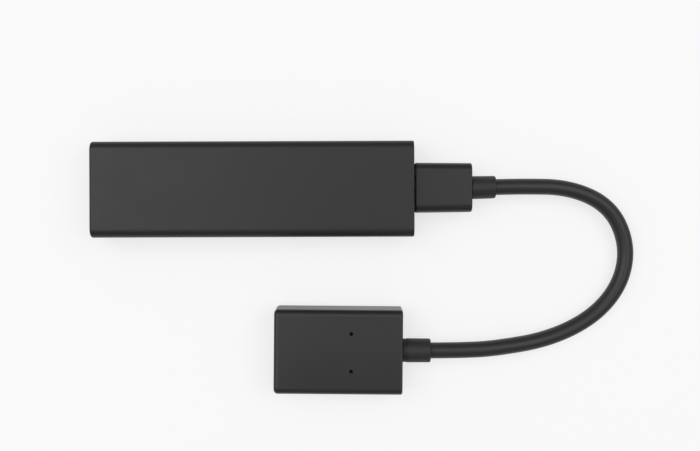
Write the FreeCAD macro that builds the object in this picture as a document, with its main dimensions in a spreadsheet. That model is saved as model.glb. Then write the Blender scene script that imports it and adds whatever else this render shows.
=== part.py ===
"""Streaming media stick with its short extension lead, in millimetres.

The origin is the centre of the stick's underside. +X points out of its plug, +Y across the stick
and +Z up. The lead is plugged on, and its block lies beside the stick on the same table.
"""

import FreeCAD, Part
import math
import os
import Sketcher

Vector = FreeCAD.Vector

# Driving dimensions
SIZES = {
    # Stick housing
    "housing_length": 99.5,
    "housing_width": 29.6,
    "housing_height": 14.0,
    "housing_wall": 1.5,
    "seam_height": 7.0,
    "long_edge_round": 2.6,
    "blind_end_round": 0.7,
    "plug_end_round": 0.35,
    "seam_bevel": 0.12,
    "lip_drop": 1.4,
    "lip_thickness": 0.6,
    "lip_gap": 0.08,
    "snap_length": 5.0,
    "snap_depth": 0.2,
    "snap_rise": 0.5,
    "snap_gap": 0.05,
    "snap_spacing": 24.0,
    "snap_below_seam": 0.45,
    # Main board and what holds it
    "board_heel_gap": 1.35,
    "board_side_gap": 0.6,
    "board_thickness": 1.0,
    "board_setback": 8.25,
    "post_diameter": 3.2,
    "post_inset": 2.3,
    "pin_diameter": 1.2,
    "pin_gap": 0.1,
    "pin_rise": 0.8,
    # Heat path, alike above and below the board
    "shield_nose_setback": 7.5,
    "shield_heel_setback": 22.9,
    "shield_side_setback": 1.4,
    "shield_rise": 1.9,
    "shield_sheet": 0.2,
    "shield_rim": 0.8,
    "lid_skirt": 1.3,
    "lid_gap": 0.05,
    "pad_thickness": 0.5,
    "pad_inset": 4.0,
    "spreader_reach": 2.0,
    "spreader_side_reach": 0.4,
    "spreader_thickness": 1.0,
    "spreader_corner": 2.5,
    "rib_thickness": 1.2,
    "rib_width": 19.0,
    "rib_spacing": 22.0,
    # Chips and small parts
    "processor_length": 14.0,
    "processor_width": 14.0,
    "processor_rise": 1.1,
    "processor_setback": 29.5,
    "memory_length": 10.0,
    "memory_width": 14.0,
    "memory_rise": 1.0,
    "memory_setback": 47.5,
    "flash_length": 11.5,
    "flash_width": 13.0,
    "flash_rise": 1.0,
    "flash_setback": 35.5,
    "power_length": 6.0,
    "power_width": 6.0,
    "power_rise": 0.9,
    "power_setback": 17.0,
    "power_across": 4.0,
    "radio_length": 11.0,
    "radio_width": 11.0,
    "radio_rise": 1.8,
    "radio_setback": 15.9,
    "radio_across": 4.5,
    "crystal_length": 3.2,
    "crystal_width": 2.5,
    "crystal_rise": 0.8,
    "crystal_clock_setback": 18.5,
    "crystal_clock_across": -7.0,
    "crystal_radio_setback": 19.9,
    "crystal_radio_across": -5.0,
    "coil_length": 2.5,
    "coil_width": 2.0,
    "coil_rise": 1.2,
    "coil_setback": 11.0,
    "coil_pitch": 4.0,
    "capacitor_length": 1.6,
    "capacitor_width": 0.8,
    "capacitor_rise": 0.8,
    "capacitor_pitch": 4.0,
    "capacitor_side_gap": 1.5,
    "antenna_middle_gap": 2.8,
    "antenna_reach": 3.6,
    "antenna_rise": 2.8,
    "antenna_sheet": 0.25,
    "antenna_leg": 1.0,
    "antenna_post_gap": 0.4,
    "antenna_inset": 0.6,
    # Plug of the stick
    "plug_width": 13.9,
    "plug_thickness": 4.45,
    "plug_side": 2.3,
    "plug_foot_inset": 1.4,
    "plug_sheet": 0.3,
    "plug_round": 0.5,
    "plug_reach": 11.3,
    "plug_inside": 7.75,
    "plug_aside": 0.4,
    "plug_hole_gap": 0.12,
    "ear_reach": 1.6,
    "ear_thickness": 0.6,
    "ear_gap": 0.12,
    "leg_length": 2.0,
    "latch_length": 2.2,
    "latch_width": 1.8,
    "latch_spacing": 6.4,
    "latch_setback": 4.6,
    "insulator_setback": 0.5,
    "slot_width": 11.4,
    "slot_depth": 8.2,
    "contact_width": 0.35,
    "contact_thickness": 0.2,
    "contact_pitch": 1.0,
    "contact_setback": 0.5,
    "contact_tail_length": 2.2,
    # Sockets of the lead, alike in the coupler and in the block
    "socket_gap": 0.06,
    "socket_sheet": 0.25,
    "socket_depth": 12.95,
    "socket_base_depth": 11.1,
    "tongue_length": 8.6,
    "tongue_width": 11.0,
    "tongue_thickness": 0.6,
    "tongue_contact": 0.12,
    "tongue_contact_setback": 0.5,
    "tail_length": 1.6,
    # Coupler
    "coupler_gap": 0.62,
    "coupler_length": 17.48,
    "coupler_mouth_width": 15.5,
    "coupler_end_width": 15.15,
    "coupler_thickness": 8.5,
    "coupler_long_round": 2.5,
    "coupler_end_round": 0.45,
    "coupler_mouth_round": 0.25,
    "coupler_end_wall": 0.9,
    "chamber_width": 13.0,
    "core_gap": 0.05,
    "core_bore_width": 10.8,
    "core_bore_height": 5.0,
    "coupler_relief_length": 7.6,
    "coupler_relief_start": 7.1,
    "coupler_relief_end": 6.95,
    # Cable and what both reliefs share
    "cable_diameter": 5.0,
    "jacket_gap": 0.05,
    "neck_wall": 0.4,
    "flange_thickness": 0.8,
    "flange_reach": 0.35,
    "flange_gap": 0.05,
    "relief_round": 0.35,
    "wire_diameter": 0.25,
    "wire_gap": 0.08,
    "wire_rise": 0.8,
    "wire_pitch": 0.42,
    # Block
    "block_length": 39.85,
    "block_width": 27.03,
    "block_top_width": 26.1,
    "block_height": 12.0,
    "block_x": 26.23,
    "block_y": -50.27,
    "block_turn": -0.67,
    "block_aside": -0.14,
    "block_top_round": 2.0,
    "block_low_round": 1.4,
    "block_front_round": 1.25,
    "block_back_round": 0.6,
    "block_mouth_bevel": 0.25,
    "block_end_wall": 3.0,
    "block_front_wall": 3.0,
    "block_core_width": 22.2,
    "block_core_height": 8.6,
    "pinhole_diameter": 1.2,
    "pinhole_middle": 4.0,
    "pinhole_spacing": 11.57,
    "can_length": 17.5,
    "can_width": 19.4,
    "can_height": 6.4,
    "can_sheet": 0.3,
    "can_gap": 0.05,
    "block_board_length": 13.5,
    "block_board_gap": 0.2,
    "block_pad_length": 2.0,
    "cable_hole_gap": 0.1,
    "block_relief_length": 8.9,
    "block_relief_start": 7.55,
    "block_relief_end": 7.4,
    "block_ring_width": 1.4,
    "block_ring_depth": 0.12,
    "crimp_length": 2.0,
    "crimp_wall": 0.35,
    # Power socket on the long side
    "power_socket_width": 7.5,
    "power_socket_height": 2.6,
    "power_socket_depth": 5.2,
    "power_socket_from_end": 16.75,
    "power_socket_setback": 0.6,
    "power_socket_sheet": 0.25,
    "power_socket_gap": 0.15,
    "power_tongue_width": 3.8,
    "power_tongue_thickness": 0.6,
    "power_tongue_length": 3.4,
    "power_base_depth": 1.2,
    "power_contact_width": 0.4,
    "power_contact_pitch": 0.65,
    "power_contact_rise": 0.12,
    "power_notch_gap": 0.2,
    "power_socket_foot_inset": 0.8,
    "power_tab_reach": 1.2,
    "power_tab_length": 3.0,
}

UPPER_CONTACT_COUNT = 10
LOWER_CONTACT_COUNT = 9
POWER_CONTACT_COUNT = 5
SNAP_COUNT = 3
RIB_COUNT = 3
COIL_COUNT = 4
CAPACITOR_COUNT = 8

# Places worked out from the sizes
PLACES = {
    "plug_end": "Size.housing_length / 2",
    "blind_end": "-Size.housing_length / 2",
    "cavity_length": "Size.housing_length - 2 * Size.housing_wall",
    "cavity_width": "Size.housing_width - 2 * Size.housing_wall",
    "ceiling": "Size.housing_height - Size.housing_wall",
    "lip_length": "Place.cavity_length + 2 * Size.lip_thickness",
    "lip_width": "Place.cavity_width + 2 * Size.lip_thickness",
    "board_nose": "Place.plug_end - Size.board_setback",
    "board_heel": "Place.blind_end + Size.housing_wall + Size.board_heel_gap",
    "board_length": "Place.board_nose - Place.board_heel",
    "board_width": "Place.cavity_width - 2 * Size.board_side_gap",
    "board_middle": "(Place.board_nose + Place.board_heel) / 2",
    "board_low": "Size.seam_height - Size.board_thickness / 2",
    "board_top": "Size.seam_height + Size.board_thickness / 2",
    "post_nose": "Place.board_nose - Size.post_inset",
    "post_heel": "Place.board_heel + Size.post_inset",
    "post_across": "Place.board_width / 2 - Size.post_inset",
    "shield_nose": "Place.board_nose - Size.shield_nose_setback",
    "shield_heel": "Place.board_heel + Size.shield_heel_setback",
    "shield_middle": "(Place.shield_nose + Place.shield_heel) / 2",
    "shield_length": "Place.shield_nose - Place.shield_heel",
    "shield_width": "Place.board_width - 2 * Size.shield_side_setback",
    "spreader_length": "Place.shield_length + 2 * Size.spreader_reach",
    "spreader_width": "Place.shield_width + 2 * Size.spreader_side_reach",
    "processor_middle": "Place.board_nose - Size.processor_setback",
    "memory_middle": "Place.board_nose - Size.memory_setback",
    "flash_middle": "Place.board_nose - Size.flash_setback",
    "power_middle": "Place.board_nose - Size.power_setback",
    "coil_middle": "Place.board_nose - Size.coil_setback",
    "crystal_clock_middle": "Place.board_nose - Size.crystal_clock_setback",
    "crystal_radio_middle": "Place.board_heel + Size.crystal_radio_setback",
    "radio_middle": "Place.board_heel + Size.radio_setback",
    "capacitor_line": "Size.shield_sheet + Size.capacitor_side_gap + Size.capacitor_width / 2",
    "capacitor_across": "Place.shield_width / 2 - Place.capacitor_line",
    "antenna_outer": "Place.post_across - Size.post_diameter / 2 - Size.antenna_post_gap",
    "antenna_inner": "Size.antenna_middle_gap / 2",
    "antenna_across": "(Place.antenna_outer + Place.antenna_inner) / 2",
    "antenna_length": "Place.antenna_outer - Place.antenna_inner",
    "pad_low": "Size.shield_rise + Size.shield_sheet",
    "spreader_low": "Place.pad_low + Size.pad_thickness",
    "spreader_top": "Place.spreader_low + Size.spreader_thickness",
    "plug_mouth": "Place.plug_end + Size.plug_reach",
    "plug_rear": "Place.plug_end - Size.plug_inside",
    "insulator_front": "Place.plug_mouth - Size.insulator_setback",
    "slot_height": "Size.board_thickness + 2 * Size.contact_thickness",
    "row_span": "10 * Size.contact_pitch",
    "coupler_mouth": "Place.plug_end + Size.coupler_gap",
    "coupler_end": "Place.coupler_mouth + Size.coupler_length",
    "coupler_tip": "Place.coupler_end + Size.coupler_relief_length",
    "coupler_chamber": "Place.coupler_mouth + Size.socket_depth",
    "coupler_chamber_end": "Place.coupler_end - Size.coupler_end_wall",
    "coupler_jacket": "Place.coupler_chamber_end - Size.core_gap - Size.flange_thickness",
    "socket_inner_width": "Size.plug_width + 2 * Size.socket_gap",
    "socket_inner_height": "Size.plug_thickness + 2 * Size.socket_gap",
    "socket_outer_width": "Place.socket_inner_width + 2 * Size.socket_sheet",
    "socket_outer_height": "Place.socket_inner_height + 2 * Size.socket_sheet",
    "jacket_bore": "Size.cable_diameter / 2 + Size.jacket_gap",
    "neck_radius": "Place.jacket_bore + Size.neck_wall",
    "flange_radius": "Place.neck_radius + Size.flange_reach",
    "chamber_height": "2 * (Place.flange_radius + Size.flange_gap)",
    "block_end": "Size.block_length / 2",
    "block_mouth": "-Size.block_length / 2",
    "block_axis": "Size.block_height / 2",
    "block_tip": "Place.block_end + Size.block_relief_length",
    "core_front": "Place.block_mouth + Size.block_front_wall",
    "core_end": "Place.block_end - Size.block_end_wall",
    "core_back": "Place.core_end - 2 * Size.core_gap - Size.flange_thickness",
    "block_socket_end": "Place.block_mouth + Size.socket_depth",
    "can_end": "Place.block_socket_end + Size.can_gap + Size.can_length",
    "can_middle": "Place.block_socket_end + Size.can_gap + Size.can_length / 2",
    "block_jacket": "Place.can_end + Size.can_gap",
    "power_front": "-Size.housing_width / 2 + Size.power_socket_setback",
    "power_rear": "Place.power_front + Size.power_socket_depth",
    "power_socket_x": "Place.blind_end + Size.power_socket_from_end",
}

# The cable's route between the two reliefs: out of the coupler, down to the table, round and up
# to the block. The first and last points are on the reliefs' end faces, and the ones beside them
# are straight ahead of those faces.
COUPLER_RUN = 8.85
BLOCK_RUN = 9.2
CABLE_BENDS = (
    (99.4, 1.2, 6.0),
    (112.6, -5.6, 4.2),
    (118.4, -17.8, 2.9),
    (116.1, -29.9, 2.55),
    (107.1, -40.2, 2.55),
    (93.0, -47.0, 3.0),
    (75.0, -50.4, 5.6),
)
ARC_SHARE = 0.45

doc = FreeCAD.newDocument("media_stick")
nodes = []


def fill_sheet(name, cells, mark):
    """A spreadsheet with one named cell for each entry."""
    sheet = doc.addObject("Spreadsheet::Sheet", name)
    for row, (alias, content) in enumerate(cells.items(), 1):
        sheet.set(f"A{row}", alias.replace("_", " "))
        sheet.set(f"B{row}", f"{mark}{content}")
        sheet.setAlias(f"B{row}", alias)
    return sheet


fill_sheet("Size", SIZES, "")
places = fill_sheet("Place", PLACES, "=")
doc.recompute()


def number(expression):
    """What an expression on the sheets comes to."""
    return float(places.evalExpression(str(expression)))


def near(first, second):
    return abs(first - second) < 1e-4


def keep(piece, label):
    """Names a finished sub-part after the file that it is written to."""
    piece.Label = label
    nodes.append(piece)
    return piece


def tie(piece, properties):
    """Binds properties to expressions on the sheets."""
    for path, expression in properties.items():
        piece.setExpression(path, str(expression))


def tie_place(piece, x, y, z):
    tie(piece, {"Placement.Base.x": x, "Placement.Base.y": y, "Placement.Base.z": z})


def lay_in_block(*pieces):
    """Puts pieces that are built on the block's own centre line where the block lies."""
    turn = FreeCAD.Rotation(Vector(0, 0, 1), number("Size.block_turn"))
    for piece in pieces:
        piece.Placement = FreeCAD.Placement(Vector(0, 0, 0), turn)
        tie_place(piece, "Size.block_x", "Size.block_y", "0")
        tie(piece, {"Placement.Rotation.Angle": "Size.block_turn"})


# Primitives and booleans


def box(length, width, rise, x, y, z):
    """A box centred on x and y, standing on z."""
    piece = doc.addObject("Part::Box", "Box")
    tie(piece, {"Length": length, "Width": width, "Height": rise})
    tie_place(piece, f"{x} - ({length}) / 2", f"{y} - ({width}) / 2", z)
    return piece


def rod(radius, x, y, z, length):
    """A cylinder along X that starts at x."""
    piece = doc.addObject("Part::Cylinder", "Rod")
    piece.Placement = FreeCAD.Placement(Vector(0, 0, 0), FreeCAD.Rotation(Vector(0, 1, 0), 90))
    tie(piece, {"Radius": radius, "Height": length})
    tie_place(piece, x, y, z)
    return piece


def cut(base, tool):
    piece = doc.addObject("Part::Cut", "Cut")
    piece.Base = base
    piece.Tool = tool
    return piece


def fuse(pieces):
    piece = doc.addObject("Part::MultiFuse", "Fuse")
    piece.Shapes = pieces
    return piece


def group(pieces):
    """Separate solids that share one node."""
    piece = doc.addObject("Part::Compound", "Group")
    piece.Links = pieces
    return piece


# Sketched features


def new_body():
    return doc.addObject("PartDesign::Body", "Body")


def sketch_on(body, role, x="0", y="0", z="0"):
    """An empty sketch on one of the body's origin planes, moved along the plane's own axes."""
    sketch = body.newObject("Sketcher::SketchObject", "Sketch")
    plane = next(item for item in body.Origin.OriginFeatures if item.Role == role)
    sketch.AttachmentSupport = (plane, [""])
    sketch.MapMode = "FlatFace"
    tie(sketch, {f"AttachmentOffset.Base.{axis}": at for axis, at in zip("xyz", (x, y, z))})
    return sketch


def outline(sketch, corners):
    """A closed outline of straight sides through corners given as pairs of expressions."""
    points = [Vector(number(x), number(y), 0) for x, y in corners]
    count = len(points)
    first = sketch.GeometryCount
    for index, point in enumerate(points):
        sketch.addGeometry(Part.LineSegment(point, points[(index + 1) % count]))
    for index in range(count):
        following = first + (index + 1) % count
        sketch.addConstraint(Sketcher.Constraint("Coincident", first + index, 2, following, 1))
    for index, corner in enumerate(corners):
        for kind, place in zip(("DistanceX", "DistanceY"), corner):
            rule = Sketcher.Constraint(kind, -1, 1, first + index, 1, number(place))
            sketch.setExpression(f"Constraints[{sketch.addConstraint(rule)}]", place)
    return sketch


def rectangle(sketch, width, height, x="0", y="0"):
    left, right = f"{x} - ({width}) / 2", f"{x} + ({width}) / 2"
    low, high = f"{y} - ({height}) / 2", f"{y} + ({height}) / 2"
    return outline(sketch, [(left, low), (right, low), (right, high), (left, high)])


def circle(sketch, radius, x="0", y="0"):
    middle = Vector(number(x), number(y), 0)
    first = sketch.addGeometry(Part.Circle(middle, Vector(0, 0, 1), number(radius)))
    rules = (
        (Sketcher.Constraint("Radius", first, number(radius)), radius),
        (Sketcher.Constraint("DistanceX", -1, 1, first, 3, middle.x), x),
        (Sketcher.Constraint("DistanceY", -1, 1, first, 3, middle.y), y),
    )
    for rule, expression in rules:
        sketch.setExpression(f"Constraints[{sketch.addConstraint(rule)}]", expression)
    return sketch


def plug_outline(sketch, grow):
    """The plug's section, wide at the top and sloped in below, with every side moved out by grow."""
    half = f"(Size.plug_width / 2 + ({grow}))"
    high = f"(Size.plug_thickness / 2 + ({grow}))"
    foot = f"({half} - Size.plug_foot_inset)"
    side = "(Size.plug_thickness / 2 - Size.plug_side)"
    right = [(half, high), (half, side), (foot, f"-{high}")]
    left = [(f"-{x}", y) for x, y in reversed(right)]
    return outline(sketch, right + left)


def pad(body, sketch, length, back=False):
    """Adds material along the sketch's normal, or against it with back."""
    feature = body.newObject("PartDesign::Pad", "Pad")
    feature.Profile = sketch
    feature.Reversed = back
    tie(feature, {"Length": length})
    doc.recompute()
    return feature


def pocket(body, sketch, length, back=False):
    """Cuts against the sketch's normal, or along it with back."""
    before = body.Shape.Volume
    feature = body.newObject("PartDesign::Pocket", "Pocket")
    feature.Profile = sketch
    feature.Reversed = back
    tie(feature, {"Length": length})
    doc.recompute()
    if body.Shape.Volume > before - 1e-4:
        raise ValueError(f"a pocket of {length} cut nothing")
    return feature


def dress(body, kind, size, test):
    """Rounds (Fillet) or bevels (Chamfer) the edges of the body's last feature that pass the test."""
    base = body.Tip
    chosen = [f"Edge{index}" for index, edge in enumerate(base.Shape.Edges, 1) if test(edge)]
    if not chosen:
        raise ValueError(f"no edge for {size}")
    feature = body.newObject(f"PartDesign::{kind}", kind)
    feature.Base = (base, chosen)
    tie(feature, {"Radius" if kind == "Fillet" else "Size": size})
    doc.recompute()
    return feature


def lies_at(edge, axis, place):
    """Whether both ends of an edge have this coordinate."""
    return all(near(getattr(corner, axis), place) for corner in edge.Vertexes)


def spans(edge, axis, low, high):
    """Whether an edge runs from one coordinate to the other."""
    ends = sorted(getattr(corner, axis) for corner in edge.Vertexes)
    return near(ends[0], low) and near(ends[-1], high)


# Stick housing


def posts_places():
    return [
        (x, y)
        for x in ("Place.post_nose", "Place.post_heel")
        for y in ("Place.post_across", "-Place.post_across")
    ]


def shell_half(body, up):
    """One half of the housing from the seam out, with its outer edges finished and hollowed."""
    seam = number("Size.seam_height")
    face = number("Size.housing_height") if up else 0.0
    start, end = number("Place.blind_end"), number("Place.plug_end")
    rise = "Size.housing_height - Size.seam_height" if up else "Size.seam_height"
    plan = sketch_on(body, "XY_Plane", z="Size.seam_height")
    rectangle(plan, "Size.housing_length", "Size.housing_width")
    pad(body, plan, rise, back=not up)
    dress(body, "Fillet", "Size.long_edge_round", lambda e: spans(e, "X", start, end) and lies_at(e, "Z", face))
    for place, size in ((start, "Size.blind_end_round"), (end, "Size.plug_end_round")):
        dress(body, "Fillet", size, lambda e: lies_at(e, "X", place) and not lies_at(e, "Z", seam))
    dress(body, "Chamfer", "Size.seam_bevel", lambda e: lies_at(e, "Z", seam))
    cavity = sketch_on(body, "XY_Plane", z="Size.seam_height")
    rectangle(cavity, "Place.cavity_length", "Place.cavity_width")
    pocket(body, cavity, f"{rise} - Size.housing_wall", back=up)


def shell_supports(body, up):
    """Four posts that clamp the board, and ribs that press on the heat spreader."""
    start = "Place.ceiling" if up else "Size.housing_wall"
    posts = sketch_on(body, "XY_Plane", z=start)
    for x, y in posts_places():
        circle(posts, "Size.post_diameter / 2", x, y)
    reach = "Place.ceiling - Place.board_top" if up else "Place.board_low - Size.housing_wall"
    pad(body, posts, reach, back=up)
    ribs = sketch_on(body, "XY_Plane", z=start)
    for index in range(RIB_COUNT):
        step = index - (RIB_COUNT - 1) / 2
        x = f"Place.shield_middle + {step} * Size.rib_spacing"
        rectangle(ribs, "Size.rib_thickness", "Size.rib_width", x)
    pad(body, ribs, f"{reach} - Place.spreader_top", back=up)


def shell_ports(body):
    """The openings for the plug and the power socket, half in each shell."""
    plug = sketch_on(body, "YZ_Plane", z="Place.plug_end")
    width = "Size.plug_width + 2 * Size.plug_hole_gap"
    height = "Size.plug_thickness + 2 * Size.plug_hole_gap"
    rectangle(plug, width, height, "Size.plug_aside", "Size.seam_height")
    pocket(body, plug, "Size.housing_wall")
    power = sketch_on(body, "XZ_Plane", z="Size.housing_width / 2")
    width = "Size.power_socket_width + 2 * Size.power_socket_gap"
    height = "Size.power_socket_height + 2 * Size.power_socket_gap"
    rectangle(power, width, height, "Place.power_socket_x", "Size.seam_height")
    pocket(body, power, "Size.housing_wall")


def snap_marks(sketch, grow):
    """Rectangles for the snap ridges, or their grooves, along the lip's two long outer faces."""
    for side in (1, -1):
        across = f"{side} * (Place.lip_width + Size.snap_depth + ({grow})) / 2"
        for index in range(SNAP_COUNT):
            x = f"{index - (SNAP_COUNT - 1) / 2} * Size.snap_spacing"
            rectangle(sketch, f"Size.snap_length + 2 * ({grow})", f"Size.snap_depth + ({grow})", x, across)
    return sketch


def top_shell():
    body = new_body()
    shell_half(body, up=True)
    shell_supports(body, up=True)
    lip = sketch_on(body, "XY_Plane", z="Size.seam_height")
    rectangle(lip, "Place.lip_length", "Place.lip_width")
    rectangle(lip, "Place.cavity_length", "Place.cavity_width")
    pad(body, lip, "Size.lip_drop", back=True)
    ridges = sketch_on(body, "XY_Plane", z="Size.seam_height - Size.snap_below_seam")
    pad(body, snap_marks(ridges, "0"), "Size.snap_rise", back=True)
    holes = sketch_on(body, "XY_Plane", z="Place.board_top")
    for x, y in posts_places():
        circle(holes, "Size.pin_diameter / 2 + Size.pin_gap", x, y)
    pocket(body, holes, "Size.pin_rise + Size.pin_gap", back=True)
    shell_ports(body)
    keep(body, "top_shell")


def bottom_shell():
    body = new_body()
    shell_half(body, up=False)
    shell_supports(body, up=False)
    rebate = sketch_on(body, "XY_Plane", z="Size.seam_height")
    rectangle(rebate, "Place.lip_length + 2 * Size.lip_gap", "Place.lip_width + 2 * Size.lip_gap")
    rectangle(rebate, "Place.cavity_length", "Place.cavity_width")
    pocket(body, rebate, "Size.lip_drop + Size.lip_gap")
    grooves = sketch_on(body, "XY_Plane", z="Size.seam_height - Size.snap_below_seam + Size.snap_gap")
    pocket(body, snap_marks(grooves, "Size.snap_gap"), "Size.snap_rise + 2 * Size.snap_gap")
    pins = sketch_on(body, "XY_Plane", z="Place.board_low")
    for x, y in posts_places():
        circle(pins, "Size.pin_diameter / 2", x, y)
    pad(body, pins, "Size.board_thickness + Size.pin_rise")
    shell_ports(body)
    keep(body, "bottom_shell")


# Main board and its parts


def main_board():
    body = new_body()
    plan = sketch_on(body, "XY_Plane", z="Place.board_low")
    rectangle(plan, "Place.board_length", "Place.board_width", "Place.board_middle")
    for x, y in posts_places():
        circle(plan, "Size.pin_diameter / 2 + Size.pin_gap", x, y)
    pad(body, plan, "Size.board_thickness")
    notch = sketch_on(body, "XY_Plane", z="Place.board_top")
    width = "Size.power_socket_width + 2 * Size.power_notch_gap"
    depth = "2 * (Place.power_rear + Size.power_notch_gap + Place.board_width / 2)"
    rectangle(notch, width, depth, "Place.power_socket_x", "-Place.board_width / 2")
    pocket(body, notch, "Size.board_thickness")
    keep(body, "main_board")


def off_board(up, low, rise):
    """Where a box starts in height that lies from low to low + rise off one face of the board."""
    return f"Place.board_top + {low}" if up else f"Place.board_low - ({low}) - ({rise})"


def plan_of(name):
    """Length, width and rise of a small part."""
    return [f"Size.{name}_{word}" for word in ("length", "width", "rise")]


def chips():
    top = "Place.board_top"
    keep(box(*plan_of("processor"), "Place.processor_middle", "0", top), "processor")
    keep(box(*plan_of("memory"), "Place.memory_middle", "0", top), "memory_chip")
    low = off_board(False, "0", "Size.flash_rise")
    keep(box(*plan_of("flash"), "Place.flash_middle", "0", low), "flash_chip")
    keep(box(*plan_of("power"), "Place.power_middle", "Size.power_across", top), "power_chip")
    keep(box(*plan_of("radio"), "Place.radio_middle", "Size.radio_across", top), "wireless_module")
    pair = []
    for use in ("crystal_clock", "crystal_radio"):
        pair.append(box(*plan_of("crystal"), f"Place.{use}_middle", f"Size.{use}_across", top))
    keep(group(pair), "crystals")
    row = []
    for index in range(COIL_COUNT):
        across = f"{index - (COIL_COUNT - 1) / 2} * Size.coil_pitch"
        row.append(box(*plan_of("coil"), "Place.coil_middle", across, top))
    keep(group(row), "inductors")
    middle = "(Place.processor_middle + Place.memory_middle) / 2"
    rows = []
    for across in ("Place.capacitor_across", "-Place.capacitor_across"):
        for index in range(CAPACITOR_COUNT):
            step = index - (CAPACITOR_COUNT - 1) / 2
            x = f"{middle} + {step} * Size.capacitor_pitch"
            rows.append(box(*plan_of("capacitor"), x, across, top))
    keep(group(rows), "capacitors")


def heat_spreader(name, up):
    body = new_body()
    low = off_board(up, "Place.spreader_low", "Size.spreader_thickness")
    plan = sketch_on(body, "XY_Plane", z=low)
    rectangle(plan, "Place.spreader_length", "Place.spreader_width", "Place.shield_middle")
    pad(body, plan, "Size.spreader_thickness")
    start = number(low)
    end = start + number("Size.spreader_thickness")
    dress(body, "Chamfer", "Size.spreader_corner", lambda e: spans(e, "Z", start, end))
    keep(body, f"{name}_heat_spreader")


def heat_path(name, up, chip, chip_plan, chip_middle):
    """Shield frame, lid, two pads and the heat spreader on one face of the board."""
    sheet, rise, middle = "Size.shield_sheet", "Size.shield_rise", "Place.shield_middle"
    plan = ("Place.shield_length", "Place.shield_width")
    wall = f"{rise} - {sheet}"
    frame = box(*plan, rise, middle, "0", off_board(up, "0", rise))
    hollow = box(*[f"{size} - 2 * {sheet}" for size in plan], wall, middle, "0", off_board(up, "0", wall))
    window = box(*[f"{size} - 2 * Size.shield_rim" for size in plan], rise, middle, "0", off_board(up, "0", rise))
    keep(cut(frame, fuse([hollow, window])), f"{name}_shield_frame")
    start, deep = f"{rise} - Size.lid_skirt", f"Size.lid_skirt + {sheet}"
    cover = [f"{size} + 2 * (Size.lid_gap + {sheet})" for size in plan]
    lid = box(*cover, deep, middle, "0", off_board(up, start, deep))
    inside = [f"{size} + 2 * Size.lid_gap" for size in plan]
    hollow = box(*inside, "Size.lid_skirt", middle, "0", off_board(up, start, "Size.lid_skirt"))
    keep(cut(lid, hollow), f"{name}_shield_lid")
    chip_rise = f"Size.{chip}_rise"
    gap = f"{rise} - {chip_rise}"
    keep(box(*chip_plan, gap, chip_middle, "0", off_board(up, chip_rise, gap)), f"{chip}_pad")
    pad_plan = [f"{size} - 2 * Size.pad_inset" for size in plan]
    low = off_board(up, "Place.pad_low", "Size.pad_thickness")
    keep(box(*pad_plan, "Size.pad_thickness", middle, "0", low), f"{name}_lid_pad")
    heat_spreader(name, up)


def antennas():
    """Two stamped antennas: a flat plate over the board's heel, each on two legs."""
    sheet, leg = "Size.antenna_sheet", "Size.antenna_leg"
    heel = "Place.board_heel + Size.antenna_inset"
    for name, side in (("left_antenna", 1), ("right_antenna", -1)):
        y = f"{side} * Place.antenna_across"
        z = f"Place.board_top + Size.antenna_rise - {sheet}"
        plate = ("Size.antenna_reach", "Place.antenna_length", sheet)
        parts = [box(*plate, f"{heel} + Size.antenna_reach / 2", y, z)]
        for end in (1, -1):
            foot = f"{y} + {end} * (Place.antenna_length - {leg}) / 2"
            parts.append(box(sheet, leg, "Size.antenna_rise", f"{heel} + {sheet} / 2", foot, "Place.board_top"))
        keep(fuse(parts), name)


# Plug of the stick


def contact_steps():
    """How far each contact lies off the middle, in pitches, and its row: 1 above, -1 below."""
    for count, row in ((UPPER_CONTACT_COUNT, 1), (LOWER_CONTACT_COUNT, -1)):
        for index in range(count):
            yield index - (count - 1) / 2, row


def across_plug(body, x):
    """A sketch square to the plug's axis at x."""
    return sketch_on(body, "YZ_Plane", x="Size.plug_aside", y="Size.seam_height", z=x)


def plug_shell():
    body = new_body()
    rear, mouth = number("Place.plug_rear"), number("Place.plug_mouth")
    length = "Place.plug_mouth - Place.plug_rear"
    pad(body, plug_outline(across_plug(body, "Place.plug_rear"), "0"), length)
    dress(body, "Fillet", "Size.plug_round", lambda e: spans(e, "X", rear, mouth))
    inside = plug_outline(across_plug(body, "Place.plug_rear"), "-Size.plug_sheet")
    pocket(body, inside, length, back=True)
    latches = sketch_on(body, "XY_Plane", z="Size.seam_height + Size.plug_thickness / 2")
    x = "Place.plug_mouth - Size.latch_setback"
    for side in (1, -1):
        y = f"Size.plug_aside + {side} * Size.latch_spacing / 2"
        rectangle(latches, "Size.latch_length", "Size.latch_width", x, y)
    pocket(body, latches, "Size.plug_sheet")
    rim = "(Size.plug_width / 2 - Size.plug_sheet)"
    top = "(Size.plug_thickness / 2 - Size.plug_round)"
    ears = across_plug(body, "Place.plug_end - Size.housing_wall - Size.ear_gap")
    legs = across_plug(body, "Place.plug_rear")
    reach = "(Size.ear_reach + Size.plug_sheet)"
    low = "(Place.board_top - Size.seam_height)"
    for side in (1, -1):
        rectangle(ears, reach, f"{top} - {low}", f"{side} * ({rim} + {reach} / 2)", f"({top} + {low}) / 2")
        across = f"{side} * ({rim} + Size.plug_sheet / 2)"
        rectangle(legs, "Size.plug_sheet", f"{top} - {low}", across, f"({top} + {low}) / 2")
    pad(body, ears, "Size.ear_thickness", back=True)
    pad(body, legs, "Size.leg_length", back=True)
    keep(body, "plug_shell")


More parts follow.
